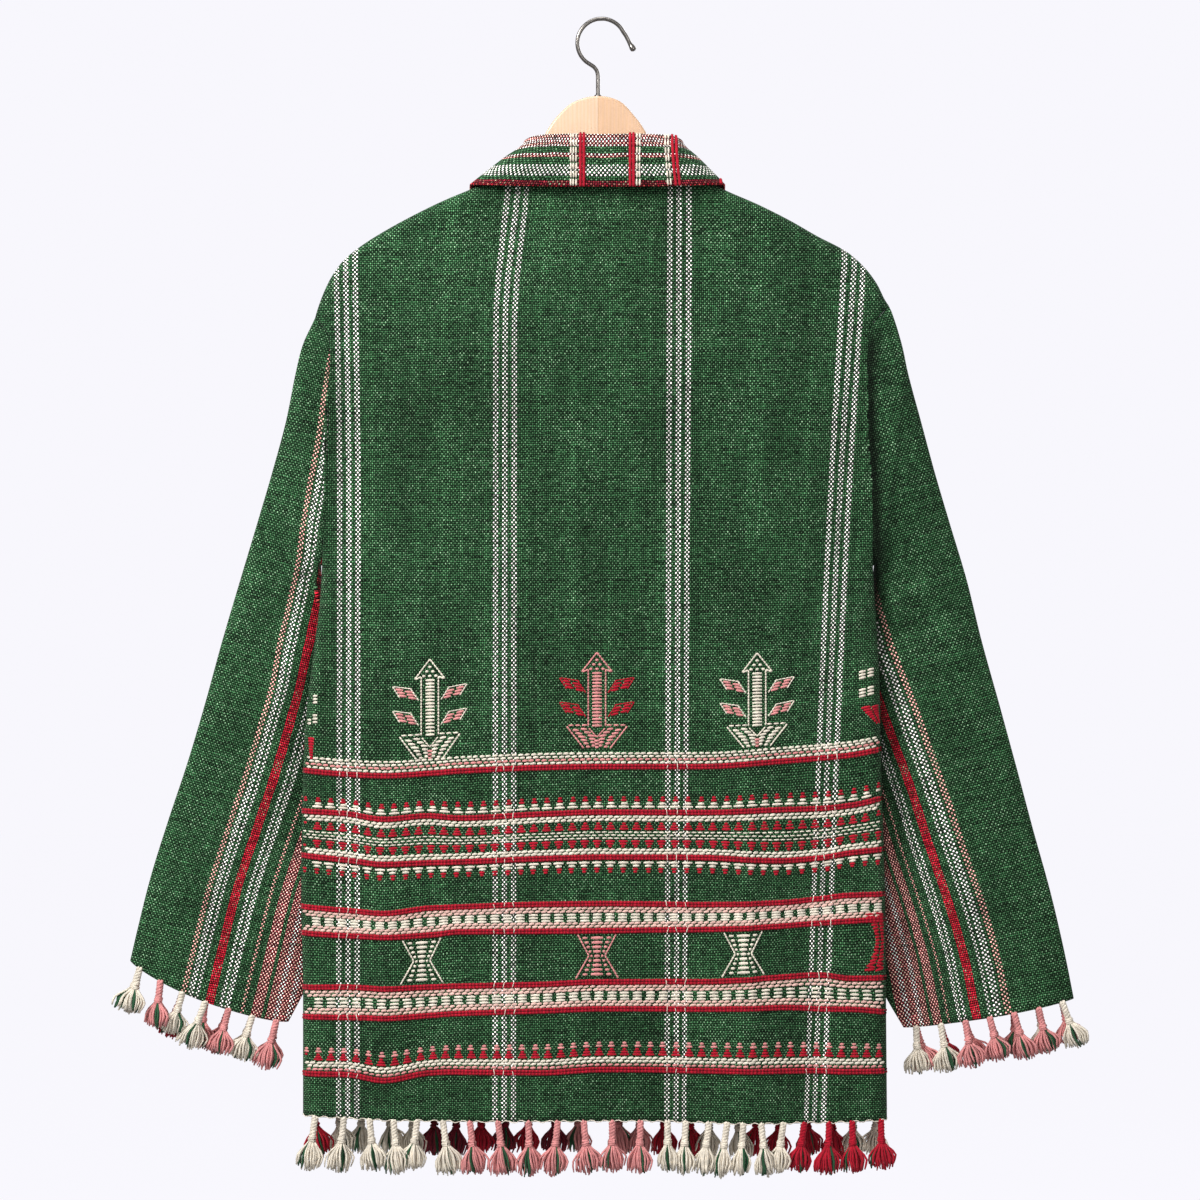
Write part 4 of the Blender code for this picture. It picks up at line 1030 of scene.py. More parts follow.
# Sleeves: outer edge's grid column, row and y in mm; inner edge's the same; half depth in
# mm; how far the middle sags towards the hand, in mm.
SLEEVE_L = [
    (304, 343, 1.0, 318.5, 573, 4.0, 13.0, 0), (297, 370, 2.5, 318.5, 590, 9.5, 13.0, 0),
    (286, 420, 4.0, 321.0, 613, 15.0, 13.0, 0), (271, 474, 6.0, 331, 640, 20.5, 12.5, 0),
    (256, 524, 8.0, 349, 668, 25.5, 12.0, 0), (239, 580, 10.0, 364, 702, 28.5, 11.5, 0),
    (221, 640, 12.0, 369, 742, 31.0, 11.0, 0), (203, 705, 13.0, 366, 786, 32.0, 10.5, 1),
    (185, 765, 14.0, 357, 835, 32.0, 10.0, 3), (166, 822, 14.0, 344, 885, 31.0, 10.0, 5),
    (148, 880, 14.0, 326, 936, 30.0, 9.5, 7), (135, 932, 14.0, 306, 986, 28.0, 9.5, 9),
    (128, 962, 14.0, 286, 1025, 26.0, 9.5, 10)]
SLEEVE_R = [
    (901, 343, 1.0, 876.0, 573, 4.0, 13.0, 0), (907, 370, 2.5, 875.0, 590, 9.5, 13.0, 0),
    (921, 420, 4.0, 872.5, 613, 15.0, 13.0, 0), (936, 474, 6.0, 863, 640, 20.5, 12.5, 0),
    (951, 524, 8.0, 844, 668, 25.5, 12.0, 0), (968, 580, 10.0, 829, 703, 28.5, 11.5, 0),
    (983, 640, 12.0, 823, 745, 31.0, 11.0, 0), (1002, 708, 13.0, 826, 795, 32.0, 10.5, 0),
    (1019, 770, 14.0, 834, 846, 32.0, 10.0, 1), (1035, 830, 14.0, 848, 898, 31.0, 10.0, 2),
    (1053, 895, 14.0, 866, 948, 30.0, 9.5, 3), (1067, 955, 14.0, 886, 996, 28.0, 9.5, 4),
    (1076, 1000, 14.0, 906, 1031, 26.0, 9.5, 4)]
SLEEVES = {-1: np.array(SLEEVE_L, float), 1: np.array(SLEEVE_R, float)}
FLATTER = (0.0, 0.0, 0.15, 0.4, 0.55)  # how much the back half flattens, ring by ring
SLEEVE_AROUND = 46      # steps from the outer edge to the inner edge on one face
SLEEVE_ALONG = 150
# How far each stripe lies from where it runs at the cuff, by grid row, in grid steps.
STRIPE_SHIFT = {
    -1: curve([343, 385, 439, 524, 559, 640, 700, 1100], [30, 27.7, 22.8, 14.2, 9, 3, 0, 0]),
    1: curve([343, 560, 629, 674, 740, 789, 872, 976, 1100],
             [-27, -27, -24.7, -18.4, -13, -8.6, -4, 0, 0])}
# Right sleeve's own spacing of the same stripes.
RIGHT_SPACING = ([0, 67, 82, 99, 114.5, 127.5, 138.6, 157, SLEEVE_WIDE],
                 [0, 60, 70.2, 86.6, 103, 121.7, 136, 158, 191])
EDGE_ROWS = 150.0, 1150.0   # grid rows between which a sleeve's outer edge is carried on


def sleeve_sections(side, q):
    """Rings of a sleeve as (ring, point, xyz): back face from outer to inner edge along q,
    then the front face back again."""
    b0, b1, bo = armhole(side, False, q)
    f0, f1, fo = armhole(side, True, q)

    def loop(b, f):
        return np.concatenate([b, f[-2:0:-1]])
    rings = [loop(b0 + PART * bo, f0 + PART * fo), loop(b1, f1)]
    table = SLEEVES[side]
    outer = np.stack([gx(table[:, 0]), table[:, 2] / 1000, gz(table[:, 1])], -1)
    inner = np.stack([gx(table[:, 3]), table[:, 5] / 1000, gz(table[:, 4])], -1)
    mid = np.concatenate([[rings[1].mean(0)], (outer + inner) / 2])
    axis = unit(np.gradient(mid, axis=0))[1:]
    wide = 2 * np.sqrt(np.clip(q * (1 - q), 0, 1))
    for k in range(len(table)):
        chord = inner[k] - outer[k]
        n = unit(np.cross(chord, axis[k]))
        n = n * (-1 if n[1] > 0 else 1)
        half, sag = table[k, 6] / 1000, table[k, 7] / 1000
        line = outer[k] + q[:, None] * chord + (sag * wide ** 1.5)[:, None] * axis[k]
        flat = 1 - FLATTER[min(k, 4)] * smooth((q - 0.35) / 0.4)
        rings.append(loop(line + (half * wide ** 0.85 * flat)[:, None] * n,
                          line - (half * wide ** 0.85)[:, None] * n))
    return np.array(rings)


def stripe_places(side, px, py):
    """Where grid places lie in a sleeve's cloth: grid steps across it from its outer edge,
    and metres down along that edge."""
    table = SLEEVES[side]
    first, last = EDGE_ROWS
    slope = np.diff(table[:, 0]) / np.diff(table[:, 1])
    rows_at = np.concatenate([[first], table[:, 1], [last]])
    edge_at = np.concatenate([[table[0, 0] - slope[0] * (table[0, 1] - first)], table[:, 0],
                              [table[-1, 0] + slope[-2:].mean() * (last - table[-1, 1])]])
    edge = curve(rows_at, edge_at)
    lean = (edge(py + 25) - edge(py - 25)) / 50
    down_share = 1 / np.sqrt(1 + lean * lean)
    from_edge = px - edge(py)
    levels = np.linspace(first, last, 400)
    length = run_length(np.stack([levels, edge(levels)], -1))
    across = -side * from_edge * down_share + STRIPE_SHIFT[side](py)
    down = (np.interp(py, levels, length) + from_edge * lean * down_share) * GRID
    if side > 0:
        across = (np.interp(across, *RIGHT_SPACING) + np.minimum(across, 0)
                  + np.maximum(across - SLEEVE_WIDE, 0))
    return across, down


def sleeve_painted_shadow(side, px, py):
    """Painted shadow where the sleeve lies behind the body's edge, from 0 to 1."""
    edge_x = EDGE_L(py) if side < 0 else EDGE_R(py)
    reach = 4.0 if side < 0 else 11.0 - 4.0 * smooth((py - 560) / 60)
    painted_shadow = np.exp(-(np.maximum(side * (px - edge_x), 0) / reach) ** 4)
    painted_shadow = painted_shadow * smooth((py - 318) / 30)
    if side < 0:
        return painted_shadow * (0.4 * (1 - smooth((py - 585) / 20)))
    return painted_shadow * (1 - 0.3 * smooth((py - 585) / 60))


def sleeve(side):
    """One sleeve as a tube of cloth, and its outer points by ring."""
    word = "left" if side < 0 else "right"
    q = (1 - np.cos(math.pi * np.arange(SLEEVE_AROUND + 1) / SLEEVE_AROUND)) / 2
    rings = sleeve_sections(side, q)
    at = run_length(rings.mean(1))
    s = np.linspace(0, at[-1], SLEEVE_ALONG)
    dense = curve(at, rings)(s)
    ring_no = np.interp(s, at, np.arange(len(at)))
    normal = grid_normals(dense, wrap=True)
    centre = dense.mean(1, keepdims=True)
    normal = normal * np.sign((normal * (dense - centre)).sum(-1).mean(1))[:, None, None]
    px, py = dense[..., 0] / GRID + GRID_X0, GRID_Z0 - dense[..., 2] / GRID
    fine = creases(CREASES_LEFT if side < 0 else CREASES_RIGHT, px, py)
    fine = fine + 0.0003 * np.sin(px / 19 + 1.3 * np.sin(py / 47)) * np.sin(py / 31 - px / 70)
    flat_part = np.concatenate([q, q[-2:0:-1]])
    fade = smooth(4 * flat_part * (1 - flat_part)) * smooth((ring_no - 1.0) / 1.5)[:, None]
    dense = dense + normal * (fine * fade)[..., None]
    closed = np.concatenate([dense, dense[:, :1]], axis=1)
    # the cloth used up in depth is counted from the middle of each face to the edges
    across, down = stripe_places(side, px, py)
    count = len(q)
    used = hidden_length(closed, 1)
    back_used = used[:, :count] - used[:, [count // 2]]
    front_used = used[:, [count - 1 + count // 2]] - used[:, count - 1:]
    meet = ((back_used[:, 0] + front_used[:, -1]) / 2, (back_used[:, -1] + front_used[:, 0]) / 2)
    across = across + np.concatenate([back_used, front_used[:, 1:-1]], axis=1) / GRID
    across[:, 0] += (meet[0] - back_used[:, 0]) / GRID
    across[:, count - 1] += (meet[1] - back_used[:, -1]) / GRID
    uv = np.stack([across * GRID, down], -1)
    bm = grid_mesh(closed, np.concatenate([uv, uv[:, :1]], axis=1))
    rows, cols = closed.shape[:2]
    bmesh.ops.remove_doubles(bm, verts=bm.verts, dist=1e-7)
    bmesh.ops.recalc_face_normals(bm, faces=bm.faces)
    bm.faces.ensure_lookup_table()
    probe = bm.faces[(rows // 2) * (cols - 1) + count // 2]
    if probe.normal.y > 0:
        bmesh.ops.reverse_faces(bm, faces=bm.faces)
    spots = np.array([v.co for v in bm.verts])
    ob = finish_mesh(bm, "wool_sleeve_" + word, [WOOL_LEFT if side < 0 else WOOL_RIGHT])
    points = closed.reshape(-1, 3)
    tree_of = KDTree(len(points))
    for i, co in enumerate(points):
        tree_of.insert(co, i)
    tree_of.balance()
    # painted shadow by the body's edge, stored on the sleeve's points for its material
    dark = ob.data.attributes.new("painted_shadow", "FLOAT", "POINT")
    painted_shadow = sleeve_painted_shadow(side, px, py)
    shades = np.concatenate([painted_shadow, painted_shadow[:, :1]], axis=1).reshape(-1)
    dark.data.foreach_set("value", [float(shades[tree_of.find(co)[1]]) for co in spots])
    thicken(ob)
    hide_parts(f"sleeve_{word}_back", f"sleeve_{word}_front")
    return ob, dense


# Collar: place along from the back's centre, fold's grid column, y in mm and row, outer
# edge's grid column, y in mm and row.
COLLAR = np.array([
    (0.00, 603.5, -19.5, 140.6, 603.5, -23.0, 189.5),
    (0.12, 572, -19.3, 140.2, 560, -23.0, 189.5),
    (0.24, 546, -17.0, 140.5, 515, -22.5, 188.5),
    (0.34, 531, -10.0, 142, 484, -17.0, 186.5),
    (0.42, 526.5, -1.0, 145, 470, -3.0, 184.6),
    (0.52, 529, 8.5, 154, 469, 13.0, 193.0),
    (0.64, 541, 15.0, 173, 478, 20.0, 222),
    (0.78, 562, 19.0, 200, 502, 22.5, 258),
    (0.90, 581, 21.0, 222, 530, 25.0, 286),
    (1.00, 593, 22.0, 236, 556, 27.5, 306)], float)
FOLD_R = 0.0032
COLLAR_ALONG, COLLAR_ACROSS = 180, 46
COLLAR_SIDE = 0.42      # place along the collar where it passes the shoulder's ridge
COLLAR_STRETCH = 1.25   # metres along the collar's edge to one metre of its weave


def neck_seam(back, left, right):
    """The body's neck edge from the left opening round the back to the right."""
    def pick(name, data, wanted):
        keep = np.nonzero(wanted(PANEL_COLUMNS[name]))[0]
        return [part[0][keep] for part in data]
    b = pick("back", back, lambda c: (c >= NECK_L) & (c <= NECK_R))
    lf = pick("front_left", left, lambda c: c > NECK_L)
    rt = pick("front_right", right, lambda c: c < NECK_R)
    outer = np.concatenate([lf[0][::-1], b[0], rt[0][::-1]])
    normal = np.concatenate([lf[1][::-1], b[1], rt[1][::-1]])
    return outer, outer - WALL * normal


def collar_points(seam_outer, seam_inner):
    """Collar's upper side: neck side of the stand, over the fold, down the fall."""
    s = run_length(seam_outer)
    nl, nr = [int(np.argmin(np.abs(seam_outer[:, 0] - gx(at)) + 9 * np.abs(seam_outer[:, 1])))
              for at in (NECK_L, NECK_R)]
    marks = [s[0], s[nl], (s[nl] + s[nr]) / 2, s[nr], s[-1]]
    t = np.linspace(-1, 1, COLLAR_ALONG)
    side = np.where(t < 0, -1.0, 1.0)
    a = np.abs(t)
    fx, fy, fz, ex, ey, ez = [curve(COLLAR[:, 0], COLLAR[:, k])(a) for k in range(1, 7)]
    centre = COLLAR[0, 1] - 5.5 * smooth((a - COLLAR_SIDE) / (1 - COLLAR_SIDE))
    fx = np.where(side < 0, fx, 2 * centre - fx)
    ex = np.where(side < 0, ex, centre + (centre - ex) * (0.91 + 0.09 * smooth((a - .55) / .45)))
    fold = np.stack([gx(fx), fy / 1000, gz(fz)], -1)
    edge = np.stack([gx(ex), ey / 1000, gz(ez)], -1)
    place = np.interp(t, [-1, -COLLAR_SIDE, 0, COLLAR_SIDE, 1], marks)
    so, si = on_line(place, s, seam_outer), on_line(place, s, seam_inner)
    px = so[:, 0] / GRID + GRID_X0
    lean = (centre - px) / 88
    up = unit(np.stack([1.5 * lean * np.abs(lean), 0 * px, np.ones_like(px)], -1)) * 2.4 * PART
    so, si = so + up, si + up
    outw = unit(np.cross(unit(np.gradient(fold, axis=0)), (0, 0, 1.0)))
    outw = outw * np.sign((outw * (edge - so)).sum(-1, keepdims=True))
    f_in, f_out = fold - outw * FOLD_R, fold + outw * FOLD_R
    high = np.array([0, 0, FOLD_R])
    cols = np.array([
        si, si + (f_in - si) * 0.5, f_in, fold - outw * FOLD_R * .7 + high * .7, fold + high,
        fold + outw * FOLD_R * .7 + high * .7, f_out,
        f_out + (edge - f_out) * 0.33 + outw * 0.0012,
        f_out + (edge - f_out) * 0.68 + outw * 0.0010, edge])
    step = np.linalg.norm(np.diff(cols, axis=0), axis=2).mean(1)
    at = np.concatenate([[0], np.cumsum(step)])
    across = np.linspace(0, at[-1], COLLAR_ACROSS)
    p = np.swapaxes(curve(at, cols)(across), 0, 1)
    fall = (across - at[4]) / (at[-1] - at[4])
    return p, t, fall


def collar(seam_outer, seam_inner):
    p, t, fall = collar_points(seam_outer, seam_inner)
    n = grid_normals(p)
    n = n * (1 if n[len(t) // 2, -8, 1] < 0 else -1)
    along = run_length(p[:, -1])
    ripple = (0.0005 * np.sin(along / 0.016)[:, None] * smooth(fall / 0.5)[None, :]
              * (fall[None, :] > 0))
    p = p + n * (ripple * np.sin(3 * fall)[None, :])[..., None]
    uv = np.stack([np.broadcast_to(along[:, None] / COLLAR_STRETCH, p.shape[:2]),
                   np.broadcast_to(fall[None, :] * COLLAR_FALL, p.shape[:2])], -1)
    ob = cloth_sheet("wool_collar", p, uv, WOOL_COLLAR,
                     outward=tuple(n[len(t) // 2, COLLAR_ACROSS // 2]))
    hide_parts("collar")
    return ob, p, n, fall


# Upright bars on the collar's fall: grid column at the fold, how far it leans at the edge,
# yarn, radius in grid steps.
COLLAR_BARS = ((571.0, 0.0, CREAM, 1.0), (573.6, 0.0, CREAM, 1.0), (576.4, 0.0, CREAM, 1.0),
               (580.6, 0.0, RED, 1.5), (584.0, 0.0, RED, 1.5), (630.2, 0.0, RED, 1.5),
               (633.4, 0.0, RED, 1.5), (636.6, 0.0, CREAM, 1.0), (639.4, 0.0, CREAM, 1.0),
               (664.8, 3.0, CREAM, 1.0), (667.6, 3.0, CREAM, 1.0), (671.8, 4.0, RED, 1.5),
               (675.4, 4.0, RED, 1.5), (717.5, 3.0, RED, 1.5), (720.6, 3.0, RED, 1.4))
CREAM_FLOAT = 0.0052    # length of one cream stitch of a bar
FLOAT_GAP = 0.0012      # and the least room left between two


def collar_bars(p, n, fall):
    """Upright bars of raised yarn down the collar's fall: cream in stitches, red unbroken."""
    bundle = Bundle()
    rng = np.random.default_rng(21)
    px = p[:, :, 0] / GRID + GRID_X0
    rows = range(int(np.argmax(fall >= 0)), len(fall))
    order = np.nonzero(p[:, -1, 1] < 0)[0]
    lifted = p + 0.0006 * n
    for column, lean, slot, wide in COLLAR_BARS:
        path = []
        for j in rows:
            want = column + lean * fall[j] ** 2
            xs = px[order, j]
            if want > xs.max():
                continue
            i = np.interp(want, xs, order)
            k = min(int(i), len(order) + order[0] - 2)
            f = i - k
            path.append((1 - f) * lifted[k, j] + f * lifted[k + 1, j])
        if len(path) < 4:
            continue
        cream = slot == CREAM
        path = np.array(path)
        length = run_length(path)
        whole = length[-1]
        count = max(1, int(whole / ((CREAM_FLOAT if cream else whole) + FLOAT_GAP)))
        for m in range(count):
            a = whole * m / count + (0.0005 if cream else 0)
            b = whole * (m + 1) / count - (0.0007 if cream else 0)
            marks = np.linspace(a, b, 6 if cream else 26)
            line = on_line(marks, length, path)
            line[:, 0] += rng.uniform(-0.0002, 0.0002)
            swell = 1 + (0 if cream else 0.16 * np.sin(np.arange(len(marks)) * 2.4))
            taper = np.sin(np.linspace(0.35, math.pi - 0.35, len(marks))) ** (0.5 if cream else 0.1)
            v, faces = yarn_tubes(line[None], (wide * GRID * swell * taper)[None], 6)
            bundle.add(v, faces, slot)
    return bundle.piece("collar_bars", YARNS, "striped_wool")


# Tassels

CORD_LONG = 0.0165      # twisted cord from the edge to the knot
CORD_R, CORD_TURN = 0.0030, 0.0085      # its radius, and the length of one turn
PLIES = 3
KNOT_R, WRAP_R = 0.0029, 0.00125
SKIRT_LONG = 0.0262
SKIRT_TOP, SKIRT_DEEP = 0.0020, 0.0058  # half its width at the knot, half its depth below
STRANDS = 38
STRAND_TAPER = [0.9, 1.0, 1.0, 1.0, 0.95, 0.62]


def tassel(bundle, root, slot, rng, reach, lean=(0.0, 0.0), facing=0.0, long=1.0):
    """Hangs one tassel from a point: twisted cord, wrapped knot and a skirt of strands."""
    down = unit(np.array([lean[0], lean[1], -1.0]))
    level = np.array([math.cos(facing), math.sin(facing), 0.0])
    side = unit(level - down * (down[0] * level[0] + down[1] * level[1]))
    front = np.cross(down, side)
    steps = np.linspace(-0.0015, CORD_LONG * long, 13)
    plies = []
    for ply in range(PLIES):
        turn = (steps / CORD_TURN * 2 * math.pi + ply * 2 * math.pi / PLIES
                + rng.uniform(0, 0.4))
        swell = 0.52 * CORD_R * (1 + 0.1 * math.sin(ply))
        plies.append(root + steps[:, None] * down
                     + swell * (np.cos(turn)[:, None] * side + np.sin(turn)[:, None] * front))
    bundle.add(*yarn_tubes(plies, CORD_R * 0.56, 6), slot)
    knot = root + CORD_LONG * long * down
    turns = np.linspace(0, 2 * math.pi, 11)
    loops = []
    for k in range(3):
        tilt = rng.uniform(-0.35, 0.35)
        r = KNOT_R - 0.0003 * abs(k - 1)
        ring = (np.cos(turns)[:, None] * side + np.sin(turns)[:, None] * front) * r
        loops.append(knot + ring + down * (0.0016 * k + tilt * r * np.cos(turns)[:, None]))
    bundle.add(*yarn_tubes(loops, WRAP_R, 5), slot)
    start = knot + down * 0.0035
    paths, green = [], []
    wedge = rng.uniform(-0.7, 0.7)
    t = np.linspace(0, 1, len(STRAND_TAPER))
    spread = smooth(t * 1.4 + 0.10) * (1 - 0.06 * t * t)
    for k in range(STRANDS):
        a = 2 * math.pi * (k * 0.618 % 1)
        r = math.sqrt((k + 0.5) / STRANDS)
        x, y = r * math.cos(a), r * math.sin(a)
        x, y = x + rng.uniform(-0.08, 0.08), y + rng.uniform(-0.08, 0.08)
        length = SKIRT_LONG * long * (rng.uniform(0.90, 1.04) - 0.17 * r * r)
        curl = 0.0016 * np.sin(t * 4.0 + 2.3 * a) * t
        paths.append(start + (t * length)[:, None] * down
                     + (x * (SKIRT_TOP + (reach - SKIRT_TOP) * spread) + curl)[:, None] * side
                     + (y * (SKIRT_TOP + (SKIRT_DEEP - SKIRT_TOP) * spread))[:, None] * front)
        green.append(abs(x - wedge) < 0.16 and k % 3 != 0)
    radius = rng.uniform(0.00080, 0.00108, STRANDS)[:, None] * [STRAND_TAPER]
    paths, green = np.array(paths), np.array(green)
    bundle.add(*yarn_tubes(paths[~green], radius[~green], 4), slot)
    if green.any():
        bundle.add(*yarn_tubes(paths[green], radius[green], 4), GREEN)


HEM_BACK_AT = [316, 345, 371, 395, 418, 444, 471, 499, 529, 558, 584, 612, 640, 667, 685, 708,
               726, 742, 760, 782, 803, 828, 851, 880]
HEM_BACK_YARN = [CREAM] * 6 + [PINK] * 7 + [CREAM] * 7 + [RED] * 4
HEM_LEFT_AT = [312, 336, 361, 386, 410, 434, 458, 482, 507, 531, 555, 579]
HEM_LEFT_YARN = [RED, CREAM, CREAM, CREAM, CREAM, MAROON, MAROON, RED, MAROON, RED, MAROON, PINK]
HEM_RIGHT_AT = [617, 640, 664, 689, 712, 736, 760, 783, 807, 831, 855, 878]
HEM_RIGHT_YARN = [PINK, PINK, RED, RED, CREAM, CREAM, RED, RED, RED, RED, CREAM, CREAM]
CUFF_YARN = {-1: [CREAM, PINK, CREAM, CREAM, PINK, CREAM, PINK, PINK, CREAM, PINK, PINK, RED,
                  PINK, CREAM],
             1: [CREAM, PINK, PINK, PINK, PINK, CREAM, CREAM, PINK, RED, PINK, PINK, PINK,
                 CREAM, PINK]}


def hem_tassels(name, edge, columns, slots, seed):
    """The tassels along one panel's hem, each as wide as its neighbours leave it room."""
    rng = np.random.default_rng(seed)
    bundle = Bundle()
    way = -1 if name == "back" else 1
    gaps = np.diff(columns)
    for k, (column, slot) in enumerate(zip(columns, slots)):
        root = on_line(float(gx(np.clip(column, 309, 882))), edge[:, 0], edge)
        root = root - [0, way * 0.0010, 0.0008]
        free = min(gaps[max(k - 1, 0)], gaps[min(k, len(gaps) - 1)]) * GRID / 2
        tassel(bundle, root, slot, rng, min(free * 1.25, 0.0132),
               (rng.uniform(-0.16, 0.16), way * 0.02),
               rng.uniform(-0.5, 0.5), rng.uniform(0.94, 1.06))
    return bundle.piece("tassels_hem_" + name, YARNS, "tassel_yarn", "hem_tassels_" + name)


def cuff_tassels(side, ring):
    """The tassels round one cuff."""
    word = "left" if side < 0 else "right"
    rng = np.random.default_rng(40 + side)
    bundle = Bundle()
    line = np.concatenate([ring, ring[:1]])
    s = run_length(line)
    for k, slot in enumerate(CUFF_YARN[side]):
        root = on_line(s[-1] * (k + 0.5) / len(CUFF_YARN[side]), s, line)
        root = root + (ring.mean(0) - root) * 0.02 - [0, 0, 0.0008]
        tassel(bundle, root, slot, rng, 0.0140,
               (side * rng.uniform(0.02, 0.40), rng.uniform(-0.08, 0.08)),
               rng.uniform(-0.7, 0.7), rng.uniform(0.80, 0.96))
    return bundle.piece("tassels_cuff_" + word, YARNS, "tassel_yarn", "cuff_tassels_" + word)


def edge_thread(name, edge, slot, seed):
    """A fine yarn that runs in and out along a cloth edge."""
    rng = np.random.default_rng(seed)
    s = run_length(edge)
    at = np.linspace(0, s[-1], int(s[-1] / 0.0016))
    line = on_line(at, s, edge)
    turn = at / 0.0125 * 2 * math.pi + 1.2 * np.sin(at / 0.05)
    line[:, 2] += 0.0009 * np.sin(turn) + 0.0002 * rng.standard_normal(len(at))
    line[:, 1] += 0.0005 * np.cos(turn)
    bundle = Bundle()
    bundle.add(*yarn_tubes(line[None], 0.00042, 5), slot)
    return bundle.piece(name, YARNS, "tassel_yarn")


# Hanger

# Outline of the wood in grid places: both sides of the head, then round the arms.
HEAD_L = [(598, 96.6), (590, 97.2), (580, 100), (571, 104), (565, 109), (558, 116), (553, 122),
          (549, 128), (545.5, 134), (544.5, 143), (544, 152), (543, 161), (540, 170), (534, 179),
          (524, 187), (508, 193.5), (490, 198.5)]
HEAD_R = [(606, 97.2), (616, 100), (623, 104), (629, 110), (634, 116), (639, 122), (643, 128),
          (646.5, 134), (648.5, 143), (649.5, 152), (651, 161), (654.5, 170), (661, 179),
          (672, 187.5), (688, 194), (706, 199)]
ARM_END_R = [(824, 249), (831, 255.5), (836.5, 262), (838, 269), (834.5, 275), (827, 277)]
ARMS_LOWER = [(816, 268), (796, 256), (770, 242.5), (735, 227), (700, 214.5), (665, 205.5),
              (630, 200.5), (598, 199), (566, 200.5), (531, 205.5), (496, 213), (461, 223.5),
              (430, 237), (405, 250.5), (386, 263), (375, 271)]
ARM_END_L = [(370, 275), (363.5, 272.5), (361, 266.5), (363, 260), (368.5, 253.5)]
WOOD_HALF = 0.006
WOOD_EDGE = 0.0023      # rounding of the wood's edges


def under_ridge(c):
    """Grid row of the wood's top edge, under the cloth's shoulder line."""
    slope = float(RIDGE(c + 4) - RIDGE(c - 4)) / 8
    return float(RIDGE(c)) + 6.05 * math.sqrt(1 + slope * slope)


def wood():
    """The hanger's board, with a domed head and rounded edges."""
    right = [(c, under_ridge(c)) for c in (725, 742, 757, 773, 789, 803, 815)]
    left = [(c, under_ridge(c)) for c in (376, 390, 405, 420, 433, 445, 458, 470)]
    outline = np.array(HEAD_R + right + ARM_END_R + ARMS_LOWER + ARM_END_L + left
                       + HEAD_L[:0:-1] + HEAD_L[:1], float)
    closed = np.concatenate([outline[-3:], outline, outline[:3]])
    s = run_length(closed)
    fine = curve(s, closed)(np.linspace(s[3], s[-3], 300, endpoint=False))
    bm = bmesh.new()
    ring = [bm.verts.new((float(gx(a)), -WOOD_HALF, float(gz(b)))) for a, b in fine]
    face = bm.faces.new(ring)
    back = bmesh.ops.extrude_face_region(bm, geom=[face])
    moved = [g for g in back["geom"] if isinstance(g, bmesh.types.BMVert)]
    bmesh.ops.translate(bm, verts=moved, vec=(0, 2 * WOOD_HALF, 0))
    bmesh.ops.recalc_face_normals(bm, faces=bm.faces)
    rims = [e for e in bm.edges if abs(e.verts[0].co.y - e.verts[1].co.y) < 1e-6]
    bmesh.ops.bevel(bm, geom=rims, offset=WOOD_EDGE, offset_type="OFFSET", segments=4,
                    profile=0.5, affect="EDGES", material=-1, clamp_overlap=True)
    ob = finish_mesh(bm, "hanger_board", [maple("maple")])
    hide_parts("hanger_wood")
    return ob


# Hook: shank, loop and tip in grid places, and the wire's radius with its flattened tip.
SHANK = [(598, 97.5), (598, 92), (598, 86), (598, 80), (597.9, 75.5), (597.0, 71.2),
         (594.2, 67.2)]
LOOP_CENTRE, LOOP_R = (601.7, 43.0), 24.3
HOOK_TIP = [(626.2, 36.3), (628.3, 40.4), (630.5, 44.6), (632.4, 47.6), (633.4, 49.2),
            (634.1, 50.3), (634.4, 50.8)]
WIRE_R = 0.00185
HOOK_TIP_R = [0.0021, 0.0028, 0.0029, 0.0021, 0.0010]
FERRULE = np.array([97.4, 96.6, 95.6, 94.9, 94.6])
FERRULE_R = np.array([0.0036, 0.0037, 0.0034, 0.0026, 0.0019])


def hook():
    """The bent steel wire, and the small ferrule where it enters the wood."""
    angles = [math.radians(deg) for deg in range(242, 20, -12)]
    loop = [(LOOP_CENTRE[0] + LOOP_R * math.cos(a), LOOP_CENTRE[1] - LOOP_R * math.sin(a))
            for a in angles]
    bend = np.array(SHANK + loop + HOOK_TIP)
    radii = np.array([WIRE_R] * (len(bend) - len(HOOK_TIP_R)) + HOOK_TIP_R)
    s = run_length(bend)
    at = np.unique(np.concatenate([np.linspace(0, s[-1], 110), np.linspace(s[-6], s[-1], 16)]))
    fine, thick = curve(s, bend)(at), curve(s, radii)(at)
    path = np.stack([gx(fine[:, 0]), 0 * at, gz(fine[:, 1])], -1)
    bundle = Bundle()
    bundle.add(*yarn_tubes(path[None], thick[None], 14), 0)
    middle = np.full(len(FERRULE), float(gx(HANGER_MIDDLE)))
    ferrule = np.stack([middle, 0 * middle, gz(FERRULE)], -1)
    bundle.add(*yarn_tubes(ferrule[None], FERRULE_R[None], 18), 0)
    return bundle.piece("hook_wire", [steel("plated_steel")], "hook_steel", "hanger_hook")


# Put together

back = body_panel("back")
front_left = body_panel("front_left")
front_right = body_panel("front_right")
pattern_back = weft_pattern(
    "back", 11, 4.0,
    [(431, 753.5, CREAM, PINK, CREAM), (597, 749, PINK, RED, RED),
     (756, 750.5, CREAM, PINK, CREAM)],
    [(423, CREAM), (597, PINK), (742, CREAM)])
pattern_left = weft_pattern(
    "front_left", 12, 7.0, [(372, 750, CREAM, PINK, CREAM), (520, 750, PINK, RED, RED)],
    [(380, PINK), (520, CREAM)])
pattern_right = weft_pattern(
    "front_right", 13, 2.0, [(672, 750, PINK, RED, RED), (820, 750, CREAM, PINK, CREAM)],
    [(675, CREAM), (820, PINK)])
left_sleeve = sleeve(-1)
right_sleeve = sleeve(1)
seam = neck_seam(back[1:], front_left[1:], front_right[1:])
collar_made = collar(*seam)
bars = collar_bars(*collar_made[1:])
